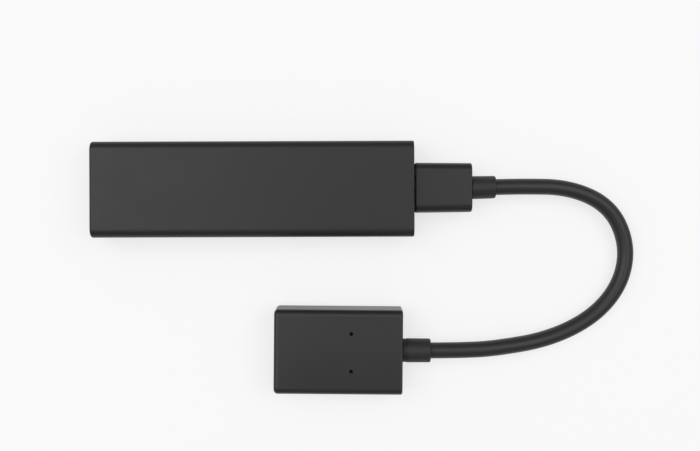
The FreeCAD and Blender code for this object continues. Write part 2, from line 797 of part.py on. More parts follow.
def plug_insulator():
    body = new_body()
    rear, front = number("Place.plug_rear"), number("Place.insulator_front")
    length = "Place.insulator_front - Place.plug_rear"
    pad(body, plug_outline(across_plug(body, "Place.plug_rear"), "-Size.plug_sheet"), length)
    dress(body, "Fillet", "Size.plug_round", lambda e: spans(e, "X", rear, front))
    slot = rectangle(across_plug(body, "Place.insulator_front"), "Size.slot_width", "Place.slot_height")
    pocket(body, slot, "Size.slot_depth")
    rows = across_plug(body, "Place.insulator_front")
    for row in (1, -1):
        height = f"{row} * (Place.slot_height - Size.contact_thickness) / 2"
        rectangle(rows, "Place.row_span", "Size.contact_thickness", "0", height)
    pocket(body, rows, length)
    keep(body, "plug_insulator")


def plug_contacts():
    start = "(Place.board_nose - Size.contact_tail_length)"
    end = "(Place.insulator_front - Size.contact_setback)"
    size = (f"{end} - {start}", "Size.contact_width", "Size.contact_thickness")
    contacts = []
    for step, row in contact_steps():
        across = f"Size.plug_aside + {step} * Size.contact_pitch"
        low = off_board(row > 0, "0", "Size.contact_thickness")
        contacts.append(box(*size, f"({start} + {end}) / 2", across, low))
    keep(group(contacts), "plug_contacts")


# Power socket of the stick


def power_socket():
    body = new_body()
    sheet = "Size.power_socket_sheet"
    plane = {"x": "Place.power_socket_x", "y": "Size.seam_height", "z": "-Place.power_front"}

    def section(inset):
        """Wide at the top, with its lower corners cut off."""
        half = f"(Size.power_socket_width / 2 - {inset})"
        high = f"(Size.power_socket_height / 2 - {inset})"
        right = [(half, high), (half, f"(Size.power_socket_foot_inset - {high})")]
        right.append((f"({half} - Size.power_socket_foot_inset)", f"-{high}"))
        left = [(f"-{x}", y) for x, y in reversed(right)]
        return outline(sketch_on(body, "XZ_Plane", **plane), right + left)

    pad(body, section("0"), "Size.power_socket_depth", back=True)
    pocket(body, section(sheet), f"Size.power_socket_depth - {sheet}")
    tabs = sketch_on(body, "XY_Plane", z="Place.board_top")
    y = "Place.power_rear - Size.power_tab_length / 2"
    for side in (1, -1):
        x = f"Place.power_socket_x + {side} * (Size.power_socket_width + Size.power_tab_reach - {sheet}) / 2"
        rectangle(tabs, f"Size.power_tab_reach + {sheet}", "Size.power_tab_length", x, y)
    pad(body, tabs, sheet)
    keep(body, "power_socket_shell")

    x, rear = "Place.power_socket_x", f"(Place.power_rear - {sheet})"
    width = f"Size.power_socket_width - 2 * ({sheet} + Size.power_socket_foot_inset)"
    height = f"(Size.power_socket_height - 2 * {sheet})"
    base = box(width, "Size.power_base_depth", height, x, f"{rear} - Size.power_base_depth / 2",
               f"Size.seam_height - {height} / 2")
    root = f"({rear} - Size.power_base_depth)"
    thickness = "Size.power_tongue_thickness"
    tongue = box("Size.power_tongue_width", "Size.power_tongue_length", thickness, x,
                 f"{root} - Size.power_tongue_length / 2", f"Size.seam_height - {thickness} / 2")
    keep(fuse([base, tongue]), "power_socket_tongue")
    contacts = []
    for index in range(POWER_CONTACT_COUNT):
        across = f"{x} + {index - (POWER_CONTACT_COUNT - 1) / 2} * Size.power_contact_pitch"
        size = ("Size.power_contact_width", "Size.power_tongue_length", "Size.power_contact_rise")
        low = f"Size.seam_height - {thickness} / 2 - Size.power_contact_rise"
        contacts.append(box(*size, across, f"{root} - Size.power_tongue_length / 2", low))
    keep(group(contacts), "power_socket_contacts")


# Sockets of the lead


def socket(name, mouth, y, z):
    """Steel shell, insulator with its tongue, and contacts of one socket that opens towards -X."""
    depth = number("Size.socket_depth")
    start = number(mouth)
    shell = new_body()
    section = sketch_on(shell, "YZ_Plane", x=y, y=z, z=mouth)
    pad(shell, plug_outline(section, "Size.socket_gap + Size.socket_sheet"), "Size.socket_depth")
    dress(shell, "Fillet", "Size.plug_round", lambda e: spans(e, "X", start, start + depth))
    inside = sketch_on(shell, "YZ_Plane", x=y, y=z, z=mouth)
    pocket(shell, plug_outline(inside, "Size.socket_gap"), "Size.socket_depth", back=True)

    insulator = new_body()
    base = f"({mouth}) + Size.socket_base_depth"
    thickness = "Size.socket_depth - Size.socket_base_depth"
    section = sketch_on(insulator, "YZ_Plane", x=y, y=z, z=base)
    pad(insulator, plug_outline(section, "Size.socket_gap"), thickness)
    tongue = sketch_on(insulator, "YZ_Plane", x=y, y=z, z=base)
    rectangle(tongue, "Size.tongue_width", "Size.tongue_thickness")
    pad(insulator, tongue, "Size.tongue_length", back=True)
    rows = sketch_on(insulator, "YZ_Plane", x=y, y=z, z=base)
    for row in (1, -1):
        height = f"{row} * (Size.tongue_thickness + Size.tongue_contact) / 2"
        rectangle(rows, "Place.row_span", "Size.tongue_contact", "0", height)
    pocket(insulator, rows, thickness, back=True)

    tip = f"({base} - Size.tongue_length + Size.tongue_contact_setback)"
    tail = f"({mouth} + Size.socket_depth + Size.tail_length)"
    size = (f"{tail} - {tip}", "Size.contact_width", "Size.tongue_contact")
    contacts = []
    for step, row in contact_steps():
        low = f"({row} * (Size.tongue_thickness + Size.tongue_contact) - Size.tongue_contact) / 2"
        across = f"{y} + {step} * Size.contact_pitch"
        contacts.append(box(*size, f"({tip} + {tail}) / 2", across, f"{z} + {low}"))
    return [
        keep(shell, f"{name}_socket_shell"),
        keep(insulator, f"{name}_insulator"),
        keep(group(contacts), f"{name}_contacts"),
    ]


def wires(name, start, end, y, z, first_rise):
    """Straight wires that draw together from the contacts to the end of the cable's jacket."""
    radius = number("Size.wire_diameter / 2")
    solids = []
    for step, row in contact_steps():
        across = f"{y} + {step} * "
        rise = f"{z} + {row} * "
        low = Vector(number(start), number(across + "Size.contact_pitch"), number(f"{rise}({first_rise})"))
        high = Vector(number(end), number(across + "Size.wire_pitch"), number(f"{rise}Size.wire_rise"))
        solids.append(Part.makeCylinder(radius, (high - low).Length, low, high - low))
    piece = doc.addObject("Part::Feature", "Wires")
    piece.Shape = Part.makeCompound(solids)
    return keep(piece, f"{name}_wires")


def relief(name, jacket, wall_start, wall_end, y, z, ring=False):
    """A strain relief turned about the cable: inner flange, neck through the wall, tapered sleeve."""
    body = new_body()
    profile = sketch_on(body, "XZ_Plane", y=z, z=f"-({y})")
    bore, neck = "Place.jacket_bore", "Place.neck_radius"
    start_radius, end_radius = f"Size.{name}_relief_start / 2", f"Size.{name}_relief_end / 2"
    tip = f"Place.{name}_tip"
    flange_back = f"({wall_start} - Size.flange_thickness)"
    corners = [(flange_back, bore), (flange_back, "Place.flange_radius"), (wall_start, "Place.flange_radius")]
    corners += [(wall_start, neck), (wall_end, neck)]
    if ring:
        low, after = f"{start_radius} - Size.{name}_ring_depth", f"{wall_end} + Size.{name}_ring_width"
        corners += [(wall_end, low), (after, low), (after, start_radius)]
    else:
        corners.append((wall_end, start_radius))
    corners += [(tip, end_radius), (tip, bore)]
    outline(profile, corners)
    turned = body.newObject("PartDesign::Revolution", "Turned")
    turned.Profile = profile
    turned.ReferenceAxis = (profile, ["H_Axis"])
    turned.Angle = 360
    doc.recompute()
    last, rim, height, across = number(tip), number(end_radius), number(z), number(y)

    def on_rim(edge):
        reach = [math.hypot(corner.Z - height, corner.Y - across) for corner in edge.Vertexes]
        return lies_at(edge, "X", last) and all(near(r, rim) for r in reach)

    dress(body, "Fillet", "Size.relief_round", on_rim)
    length = f"{tip} - {jacket}"
    return [
        keep(body, f"{name}_relief"),
        keep(group([rod("Size.cable_diameter / 2", jacket, y, z, length)]), f"{name}_cable_end"),
    ]


def coupler_body(y, z):
    body = new_body()
    mouth, end = "Place.coupler_mouth", "Place.coupler_end"
    first, last = number(mouth), number(end)
    plan = sketch_on(body, "XY_Plane", y=y, z=f"{z} - Size.coupler_thickness / 2")
    wide, narrow = "Size.coupler_mouth_width / 2", "Size.coupler_end_width / 2"
    outline(plan, [(mouth, f"-{wide}"), (end, f"-{narrow}"), (end, narrow), (mouth, wide)])
    pad(body, plan, "Size.coupler_thickness")
    dress(body, "Fillet", "Size.coupler_long_round", lambda e: spans(e, "X", first, last))
    dress(body, "Fillet", "Size.coupler_end_round", lambda e: lies_at(e, "X", last))
    dress(body, "Fillet", "Size.coupler_mouth_round", lambda e: lies_at(e, "X", first))
    hole = sketch_on(body, "YZ_Plane", x=y, y=z, z=mouth)
    pocket(body, plug_outline(hole, "Size.socket_gap + Size.socket_sheet"), "Size.socket_depth", back=True)
    chamber = sketch_on(body, "YZ_Plane", x=y, y=z, z="Place.coupler_chamber")
    rectangle(chamber, "Size.chamber_width", "Place.chamber_height")
    pocket(body, chamber, "Place.coupler_chamber_end - Place.coupler_chamber", back=True)
    bore = sketch_on(body, "YZ_Plane", x=y, y=z, z=end)
    pocket(body, circle(bore, "Place.neck_radius + Size.core_gap"), "Size.coupler_end_wall")
    keep(body, "coupler_body")


def coupler():
    y, z, gap = "Size.plug_aside", "Size.seam_height", "Size.core_gap"
    coupler_body(y, z)
    socket("coupler", "Place.coupler_mouth", y, z)
    core = new_body()
    section = sketch_on(core, "YZ_Plane", x=y, y=z, z=f"Place.coupler_chamber + {gap}")
    rectangle(section, f"Size.chamber_width - 2 * {gap}", f"Place.chamber_height - 2 * {gap}")
    rectangle(section, "Size.core_bore_width", "Size.core_bore_height")
    pad(core, section, f"Place.coupler_jacket - Place.coupler_chamber - 2 * {gap}")
    keep(core, "coupler_core")
    rise = "Size.tongue_thickness / 2 + Size.tongue_contact + Size.wire_diameter / 2 + Size.wire_gap"
    start = "Place.coupler_chamber + Size.wire_gap"
    wires("coupler", start, "Place.coupler_jacket - Size.wire_gap", y, z, rise)
    relief("coupler", "Place.coupler_jacket", f"Place.coupler_chamber_end - {gap}", "Place.coupler_end", y, z)


# Block at the lead's far end


def block_body():
    """The block's outer moulding. Its walls lean in from the table upwards, so that it leaves its
    mould, and its middle lies a little aside of the socket's and the cable's axis."""
    body = new_body()
    first, last, top = number("Place.block_mouth"), number("Place.block_end"), number("Size.block_height")
    reach = number("Place.socket_outer_width / 2")
    section = sketch_on(body, "YZ_Plane", x="Size.block_aside", z="Place.block_mouth")
    low, high = "Size.block_width / 2", "Size.block_top_width / 2"
    outline(section, [(f"-{low}", "0"), (low, "0"), (high, "Size.block_height"), (f"-{high}", "Size.block_height")])
    pad(body, section, "Size.block_length")
    for size, place in (("top", top), ("low", 0.0)):
        long = lambda e: spans(e, "X", first, last) and lies_at(e, "Z", place)
        dress(body, "Fillet", f"Size.block_{size}_round", long)
    for place, end in ((first, "front"), (last, "back")):
        dress(body, "Fillet", f"Size.block_{end}_round", lambda e: lies_at(e, "X", place))
    axis = "Place.block_axis"
    hole = sketch_on(body, "YZ_Plane", y=axis, z="Place.block_mouth")
    pocket(body, plug_outline(hole, "Size.socket_gap + Size.socket_sheet"), "Size.block_front_wall", back=True)
    core = sketch_on(body, "YZ_Plane", y=axis, z="Place.core_front")
    rectangle(core, "Size.block_core_width", "Size.block_core_height")
    pocket(body, core, "Place.core_end - Place.core_front", back=True)
    bore = sketch_on(body, "YZ_Plane", y=axis, z="Place.block_end")
    pocket(body, circle(bore, "Place.neck_radius + Size.core_gap"), "Size.block_end_wall")
    pinholes = sketch_on(body, "XY_Plane", z="Size.block_height")
    for side in (1, -1):
        across = f"Size.block_aside + {side} * Size.pinhole_spacing / 2"
        circle(pinholes, "Size.pinhole_diameter / 2", "Size.pinhole_middle", across)
    pocket(body, pinholes, "(Size.block_height - Size.block_core_height) / 2")

    def at_mouth(edge):
        return lies_at(edge, "X", first) and all(abs(corner.Y) < reach + 0.1 for corner in edge.Vertexes)

    dress(body, "Chamfer", "Size.block_mouth_bevel", at_mouth)
    return keep(body, "block_body")


def block_core():
    """Inner moulding that holds the socket, the shielded board and the crimped cable end."""
    body = new_body()
    axis, gap = "Place.block_axis", "Size.core_gap"
    outer = sketch_on(body, "YZ_Plane", y=axis, z=f"Place.core_front + {gap}")
    rectangle(outer, f"Size.block_core_width - 2 * {gap}", f"Size.block_core_height - 2 * {gap}")
    pad(body, outer, f"Place.core_back - Place.core_front - {gap}")
    front = sketch_on(body, "YZ_Plane", y=axis, z=f"Place.core_front + {gap}")
    plug_outline(front, "Size.socket_gap + Size.socket_sheet")
    pocket(body, front, f"Place.block_socket_end - Place.core_front - {gap}", back=True)
    can = sketch_on(body, "YZ_Plane", y=axis, z="Place.block_socket_end")
    rectangle(can, "Size.can_width + 2 * Size.can_gap", "Size.can_height + 2 * Size.can_gap")
    pocket(body, can, "Size.can_length + 2 * Size.can_gap", back=True)
    bore = sketch_on(body, "YZ_Plane", y=axis, z="Place.core_back")
    circle(bore, f"Place.jacket_bore + Size.crimp_wall + {gap}")
    pocket(body, bore, "Place.core_back - Place.can_end - Size.can_gap")
    return keep(body, "block_core")


def block_shields():
    """Two tinplate half cans that meet on the block's axis around the small board."""
    sheet, rise, axis = "Size.can_sheet", "(Size.can_height / 2)", "Place.block_axis"
    halves = []
    for name, up in (("upper", True), ("lower", False)):
        low = axis if up else f"{axis} - {rise}"
        inner_low = axis if up else f"{axis} - {rise} + {sheet}"
        can = box("Size.can_length", "Size.can_width", rise, "Place.can_middle", "0", low)
        inner = (f"Size.can_length - 2 * {sheet}", f"Size.can_width - 2 * {sheet}", f"{rise} - {sheet}")
        hollow = box(*inner, "Place.can_middle", "0", inner_low)
        front = f"Place.can_middle - Size.can_length / 2 + {sheet} / 2"
        slot_rise = f"({rise} - 2 * {sheet})"
        slot_low = axis if up else f"{axis} - {slot_rise}"
        slot = box(sheet, "Size.tongue_width", slot_rise, front, "0", slot_low)
        hole_radius = "Size.cable_diameter / 2 - Size.cable_hole_gap"
        hole = rod(hole_radius, f"Place.can_end - {sheet}", "0", axis, sheet)
        halves.append(keep(cut(can, fuse([hollow, slot, hole])), f"block_{name}_shield"))
    return halves


def block():
    axis = "Place.block_axis"
    pieces = [block_body(), block_core(), *block_shields()]
    pieces += socket("block", "Place.block_mouth", "0", axis)
    thickness = "Size.tongue_thickness"
    width = "Size.can_width - 2 * (Size.can_sheet + Size.block_board_gap)"
    start = "(Place.block_socket_end + Size.can_gap + Size.can_sheet + Size.block_board_gap)"
    middle = f"{start} + Size.block_board_length / 2"
    board = box("Size.block_board_length", width, thickness, middle, "0", f"{axis} - {thickness} / 2")
    pieces.append(keep(group([board]), "block_board"))
    rise = f"{thickness} / 2 + Size.wire_diameter / 2 + Size.wire_gap"
    soldered = f"{start} + Size.block_board_length - Size.block_pad_length"
    pieces.append(wires("block", soldered, "Place.block_jacket - Size.wire_gap", "0", axis, rise))
    crimp = new_body()
    section = sketch_on(crimp, "YZ_Plane", y=axis, z="Place.block_jacket")
    circle(section, "Place.jacket_bore + Size.crimp_wall")
    circle(section, "Place.jacket_bore")
    pad(crimp, section, "Size.crimp_length")
    pieces.append(keep(crimp, "block_crimp"))
    wall = "Place.core_end - Size.core_gap"
    pieces += relief("block", "Place.block_jacket", wall, "Place.block_end", "0", axis, ring=True)
    lay_in_block(*pieces)


# Cable


def cable_route():
    """The corners of the cable's route, from the coupler's relief to the block's."""
    start = Vector(number("Place.coupler_tip"), number("Size.plug_aside"), number("Size.seam_height"))
    turn = FreeCAD.Rotation(Vector(0, 0, 1), number("Size.block_turn"))
    middle = Vector(number("Size.block_x"), number("Size.block_y"), number("Place.block_axis"))
    ahead = turn.multVec(Vector(1, 0, 0))
    end = middle + ahead * number("Place.block_tip")
    bends = [Vector(*bend) for bend in CABLE_BENDS]
    return [start, start + Vector(COUPLER_RUN, 0, 0), *bends, end + ahead * BLOCK_RUN, end]


def rounded_path(corners):
    """Straight runs joined by tangent arcs, each as large as its two runs allow."""
    edges = []
    radii = []
    here = corners[0]
    for before, corner, after in zip(corners, corners[1:], corners[2:]):
        back, ahead = before - corner, after - corner
        half_turn = (math.pi - back.getAngle(ahead)) / 2
        tangent = ARC_SHARE * min(back.Length, ahead.Length)
        back.normalize()
        ahead.normalize()
        first, last = corner + back * tangent, corner + ahead * tangent
        radius = tangent / math.tan(half_turn)
        inward = back + ahead
        inward.normalize()
        middle = corner + inward * (radius / math.cos(half_turn) - radius)
        edges += [Part.LineSegment(here, first).toShape(), Part.Arc(first, middle, last).toShape()]
        radii.append(radius)
        here = last
    edges.append(Part.LineSegment(here, corners[-1]).toShape())
    return Part.Wire(edges), radii


def lead_cable():
    corners = cable_route()
    path, radii = rounded_path(corners)
    radius = number("Size.cable_diameter / 2")
    section = Part.Wire(Part.Circle(corners[0], corners[1] - corners[0], radius).toShape())
    piece = doc.addObject("Part::Feature", "Cable")
    piece.Shape = path.makePipeShell([section], True, False)
    expected = math.pi * radius**2 * path.Length
    print("cable arc radii", [round(r, 1) for r in radii])
    print("cable length", round(path.Length, 2), "volume", round(piece.Shape.Volume, 2), "of", round(expected, 2))
    keep(piece, "lead_cable")


def write_parts():
    """Checks every object, then writes one file for each sub-part."""
    doc.recompute()
    for item in doc.Objects:
        if "Invalid" in item.State or "Error" in item.State:
            raise RuntimeError(f"{item.Name} in {item.Label} failed: {item.State}")
    for piece in nodes:
        if piece.Shape.isNull() or not piece.Shape.isValid() or not piece.Shape.Solids:
            raise RuntimeError(f"{piece.Label} has no valid solid")
    os.makedirs("parts", exist_ok=True)
    for piece in nodes:
        piece.Shape.exportStep(f"parts/{piece.Label}.step")
    print(len(nodes), "sub-parts written")


top_shell()
bottom_shell()
main_board()
chips()
heat_path("upper", True, "processor", ["Size.processor_length", "Size.processor_width"], "Place.processor_middle")
heat_path("lower", False, "flash", ["Size.flash_length", "Size.flash_width"], "Place.flash_middle")
antennas()
plug_shell()
plug_insulator()
plug_contacts()
power_socket()
coupler()
block()
lead_cable()
write_parts()
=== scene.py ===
import math

import bmesh
import bpy
import numpy as np
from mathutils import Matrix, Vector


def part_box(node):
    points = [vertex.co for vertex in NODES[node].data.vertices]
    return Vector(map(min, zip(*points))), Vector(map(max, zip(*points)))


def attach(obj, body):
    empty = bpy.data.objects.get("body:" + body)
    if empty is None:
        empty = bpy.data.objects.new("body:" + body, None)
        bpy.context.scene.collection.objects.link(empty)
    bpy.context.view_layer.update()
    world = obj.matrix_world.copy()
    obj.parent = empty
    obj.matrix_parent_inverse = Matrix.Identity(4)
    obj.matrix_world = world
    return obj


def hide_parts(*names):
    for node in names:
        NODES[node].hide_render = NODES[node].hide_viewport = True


bl_info = {
    "name": "Streaming Media Stick",
    "version": (1, 0, 0),
    "blender": (4, 5, 0),
    "location": "View3D > Sidebar > Media Stick",
    "description": "Finishes a media stick and its extension lead, and lights them on a pale table",
    "category": "Object",
}

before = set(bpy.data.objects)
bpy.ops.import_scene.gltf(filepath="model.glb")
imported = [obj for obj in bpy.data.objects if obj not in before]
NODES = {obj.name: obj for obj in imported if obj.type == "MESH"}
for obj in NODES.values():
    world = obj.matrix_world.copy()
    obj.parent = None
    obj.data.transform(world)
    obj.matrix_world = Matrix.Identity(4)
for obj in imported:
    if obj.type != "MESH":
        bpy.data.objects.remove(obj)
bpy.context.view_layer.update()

MM = 0.001

# The point of the table that the camera looks straight down on, and the nearest and furthest that it
# sees, in metres, and the width of its sensor in millimetres.
VIEW_CENTRE = (30.0 * MM, -11.3 * MM)
VIEW_REACH = (0.01, 20)
SENSOR = 36

# Where the cable runs, in metres. Its first and last points lie on the end faces of the two strain
# reliefs, and the ones beside them straight ahead of those faces.
CABLE_POINTS = np.array(
    (
        (75.45, 0.55, 7.0),
        (83.1, 0.78, 7.0),
        (99.3, 0.46, 6.0),
        (112.4, -5.65, 4.2),
        (118.05, -17.7, 2.9),
        (116.05, -30.05, 2.55),
        (107.4, -40.5, 2.55),
        (93.0, -47.55, 3.0),
        (75.2, -50.15, 5.6),
        (64.252, -50.6, 6.0),
        (55.053, -50.607, 6.0),
    )
) * MM

# The coupler's axis runs along X through the middle of its mouth. Its box in the frame gives both ends.
COUPLER_LOW, COUPLER_HIGH = np.array(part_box("coupler_body"))
COUPLER_MOUTH = np.array((COUPLER_LOW[0], *(COUPLER_LOW + COUPLER_HIGH)[1:] / 2))
COUPLER_LENGTH = COUPLER_HIGH[0] - COUPLER_LOW[0]
COUPLER_MOUTH_WIDTH = 15.5 * MM
COUPLER_END_WIDTH = 15.15 * MM
COUPLER_END_ROUND = 0.45 * MM

# The coupler's parting lines run from this far beside its axis, next to the strain relief, to this far
# from its mouth.
COUPLER_BEAD_START = 3.75 * MM
COUPLER_BEAD_END = 0.3 * MM

# Corners (y, z) of the plug's outline and of the collar's round its root, from the plug's axis, which is
# the coupler's too, and the cut at each of them, all in millimetres.
PLUG_OUTLINE = (
    (6.95, 2.225), (6.95, -0.075), (5.55, -2.225), (-5.55, -2.225), (-6.95, -0.075), (-6.95, 2.225),
)
SHADE_COLLAR_OUTLINE = (
    (7.35, 2.6), (7.35, -0.075), (7.35, -2.6), (-7.35, -2.6), (-7.35, -0.075), (-7.35, 2.6),
)
OUTLINE_CUT = 0.5

# Corners (x, s) of the collar's section, each with its cut: x is in millimetres from the coupler's mouth,
# and s is the share of the way from the plug's outline to the collar's. The collar starts inside the
# housing's wall and a little inside the plug, and fills the joint but for a hair. Its black hides the
# plug's metal there and stands in for the shade in the joint, as painted shade.
SHADE_COLLAR_SECTION = np.array(
    ((-0.75, -0.15, 0.02), (-0.75, 1, 0.02), (-0.05, 1, 0.1), (-0.05, -0.15, 0.02))
)

# The middle of the block's cable axis, and how far the block is turned. Its body lies a little aside
# of that axis, and is widest where its low edge starts to round off.
BLOCK_MIDDLE = np.array((26.23, -50.27, 6.0)) * MM
BLOCK_TURN = math.radians(-0.67)
BLOCK_ASIDE = -0.14 * MM
BLOCK_LENGTH = 39.85 * MM
BLOCK_WIDEST = 26.92 * MM
BLOCK_WIDEST_AT = 1.4 * MM
BLOCK_FRONT_ROUND = 1.25 * MM
BLOCK_BACK_ROUND = 0.6 * MM

# What both strain reliefs share, in millimetres: the radii of the bore over the cable, of the neck
# through the wall and of the flange behind it, the flange's thickness and its gap to the wall.
RELIEF_BORE = 2.55
RELIEF_NECK = 2.95
RELIEF_FLANGE = 3.3
FLANGE_THICKNESS = 0.8
FLANGE_GAP = 0.05

# The walls that they pass through, in millimetres, and how far the cable pulls the coupler's relief
# aside for each unit of its length, which is 1.1 degrees.
COUPLER_WALL = 0.9
BLOCK_WALL = 3.0
RELIEF_LEAN = 0.02

# Sides of a parting line's section. On a strain relief the line keeps clear of the sleeve's start and
# of the flange's radius by the first length, and of the tip by the second, in millimetres.
BEAD_SIDES = 12
RIDGE_CLEAR = 0.1
RIDGE_CLEAR_TIP = 0.3

# Half the table's side, in metres, and how many grid lines it has each way.
TABLE_REACH = 6.0
TABLE_LINES = 13

# Sides and places of the two lamps' softboxes, in metres.
SOFTBOX = (0.8, 0.9)
LEFT_LAMP = (-0.48, 0.12, 1.0)
RIGHT_LAMP = (0.58, 0.12, 1.0)

# The height on the unit sphere of the sky above which the camera's dark stand hides it, and the height
# over which the stand's soft edge fades.
STAND_EDGE = 0.985
STAND_FADE = 0.035


def linear(text):
    """The linear colour of an sRGB hex value."""
    channels = np.array([int(text[i : i + 2], 16) for i in (1, 3, 5)]) / 255
    low, high = channels / 12.92, ((channels + 0.055) / 1.055) ** 2.4
    return (*np.where(channels <= 0.04045, low, high).tolist(), 1.0)


# Settings


def colour(name, description, text):
    """A colour setting, from its sRGB hex value."""
    return bpy.props.FloatVectorProperty(
        name=name, description=description, subtype="COLOR", size=4, min=0, max=1, default=linear(text)
    )


def length(name, description, millimetres):
    """A length setting, given in millimetres and kept in metres."""
    return bpy.props.FloatProperty(
        name=name, description=description, unit="LENGTH", min=0, default=millimetres * MM
    )


def share(name, description, value):
    """A setting from nought to one."""
    return bpy.props.FloatProperty(
        name=name, description=description, subtype="FACTOR", min=0, max=1, default=value
    )


def amount(name, description, value, unit="NONE"):
    """A setting that is a strength, a power or a focal length."""
    return bpy.props.FloatProperty(name=name, description=description, unit=unit, min=0, default=value)


class StickSettings(bpy.types.PropertyGroup):
    """Finish of the stick's housing."""

    housing: colour("Housing", "Colour of the moulded housing", "#18181a")
    grain: length("Grain", "Distance between the humps of the moulded grain", 0.32)
    roughness: share("Roughness", "Roughness of the moulded housing", 0.42)


class LeadSettings(bpy.types.PropertyGroup):
    """Sizes and finish of the extension lead."""

    overmould: colour("Overmould", "Colour of the coupler and the block", "#19191a")
    jacket: colour("Jacket", "Colour of the cable's jacket and the strain reliefs", "#1b1b1c")
    roughness: share("Roughness", "Roughness of the coupler and the block", 0.35)
    cable_diameter: length("Cable", "Diameter of the cable", 5.0)
    ridge_width: length("Parting line width", "Width of the moulds' parting line", 0.3)
    ridge_height: length("Parting line height", "How far the parting line stands proud", 0.05)


class StageSettings(bpy.types.PropertyGroup):
    """Camera, light and table."""

    table: colour("Table", "Colour of the table", "#fcfcfc")
    camera_height: length("Camera height", "Height of the camera over the table", 297.5)
    lens: amount("Lens", "Focal length in millimetres on a 36 mm sensor", 47.74, "CAMERA")
    roll: bpy.props.FloatProperty(
        name="Roll", description="Turn of the camera about its own axis", subtype="ANGLE",
        default=math.radians(-0.2),
    )
    left: amount("Left lamp", "Power of the large soft lamp on the left in watts", 4.9, "POWER")
    right: amount("Right lamp", "Power of the large soft lamp on the right in watts", 4.0, "POWER")
    room: amount("Room", "Strength of the even light from above, round the camera's stand", 0.55)
    horizon: amount("Horizon", "Strength of the even light from the sides", 0.22)
    stand: amount("Stand", "Strength of the light from the dark stand over the camera", 0.02)
    glow: share("Table glow", "How much of the table's white the camera sees without shadow", 0.7)


# Nodes and materials


def add_node(tree, kind, inputs=None, stops=None, **settings):
    """Adds a node. An input is a value or another node's socket, and stops are a ramp's colours."""
    node = tree.nodes.new(kind)
    for name, value in settings.items():
        setattr(node, name, value)
    for name, value in (inputs or {}).items():
        if isinstance(value, bpy.types.NodeSocket):
            tree.links.new(value, node.inputs[name])
        else:
            node.inputs[name].default_value = value
    for index, (place, tint) in enumerate(stops or ()):
        element = node.color_ramp.elements
        stop = element[index] if index < len(element) else element.new(place)
        stop.position, stop.color = place, tint
    return node


def new_material(name):
    """An empty material, its node tree and the socket with places on the object in metres."""
    material = bpy.data.materials.new(name)
    material.use_nodes = True
    tree = material.node_tree
    tree.nodes.clear()
    return material, tree, add_node(tree, "ShaderNodeTexCoord").outputs["Object"]


def surface(material, tree, inputs):
    """Ends a material in a surface with these inputs."""
    shader = add_node(tree, "ShaderNodeBsdfPrincipled", inputs)
    add_node(tree, "ShaderNodeOutputMaterial", {"Surface": shader.outputs[0]})
    return material


def shade(tint, factor):
    """A colour made darker or lighter by a factor."""
    return (*(min(1.0, channel * factor) for channel in tint[:3]), 1.0)


def fine_grain(tree, place, grain, tint, spread, strength, detail=2.0):
    """The humps that a mould or die leaves, one grain apart: the colour varies with them by the spread,
    and they stand in the surface's bump. Gives the colour and the normal."""
    fine = add_node(tree, "ShaderNodeTexNoise", {"Vector": place, "Scale": 1 / grain, "Detail": detail})
    tone = add_node(
        tree, "ShaderNodeValToRGB", {"Fac": fine.outputs["Fac"]},
        stops=((0.3, shade(tint, 1 - spread)), (0.7, shade(tint, 1 + spread))),
    )
    bump = add_node(
        tree, "ShaderNodeBump",
        {"Height": fine.outputs["Fac"], "Strength": strength, "Distance": 0.02 * MM},
    )
    return {"Base Color": tone.outputs["Color"], "Normal": bump.outputs["Normal"]}


def spark_eroded_abs(tint, grain, roughness):
    """ABS from a spark-eroded mould: an even fine grain that scatters light into a soft satin."""
    material, tree, place = new_material("spark_eroded_abs")
    # The real grain is near 0.1 mm. It is drawn about three times as coarse, so that it shows.
    grained = fine_grain(tree, place, grain, tint, 0.15, 0.35, detail=3.0)
    # Handling polishes the humps in patches about 15 mm wide.
    handled = add_node(
        tree, "ShaderNodeTexNoise", {"Vector": place, "Scale": 1 / (15 * MM), "Detail": 2.0}
    )
    rough = add_node(
        tree, "ShaderNodeMapRange",
        {"Value": handled.outputs["Fac"], "To Min": roughness - 0.05, "To Max": roughness + 0.05},
    )
    # The pits between the humps keep back about a sixth of the sheen.
    return surface(
        material, tree, {**grained, "Roughness": rough.outputs["Result"], "Specular IOR Level": 0.42}
    )


def moulded_vinyl(name, tint, grain, roughness, shine=0.5):
    """Soft PVC moulded over the parts: smoother than the housing, with faint flow shading."""
    material, tree, place = new_material(name)
    grained = fine_grain(tree, place, grain, tint, 0.1, 0.2)
    # The melt spread in uneven rings some 38 mm apart, which shine a little differently. At a scale of
    # one, the texture's rings are a twentieth of two pi apart.
    flow = add_node(
        tree, "ShaderNodeTexWave",
        {
            "Vector": place, "Scale": math.tau / 20 / (37.7 * MM), "Distortion": 6.0, "Detail": 2.0,
            "Detail Scale": 1.5,
        },
        wave_type="RINGS",
    )
    rough = add_node(
        tree, "ShaderNodeMapRange",
        {"Value": flow.outputs["Fac"], "To Min": roughness - 0.03, "To Max": roughness + 0.04},
    )
    return surface(
        material, tree, {**grained, "Roughness": rough.outputs["Result"], "Specular IOR Level": shine}
    )


def extruded_jacket(tint):
    """PVC drawn through a die: an even satin with a faint tooth."""
    material, tree, place = new_material("extruded_pvc_jacket")
    grained = fine_grain(tree, place, 0.4 * MM, tint, 0.12, 0.15)
    # Hands have worn it shinier in places, some 20 mm apart.
    worn = add_node(tree, "ShaderNodeTexNoise", {"Vector": place, "Scale": 1 / (20 * MM), "Detail": 1.0})
    rough = add_node(
        tree, "ShaderNodeMapRange", {"Value": worn.outputs["Fac"], "To Min": 0.4, "To Max": 0.5}
    )
    return surface(material, tree, {**grained, "Roughness": rough.outputs["Result"]})


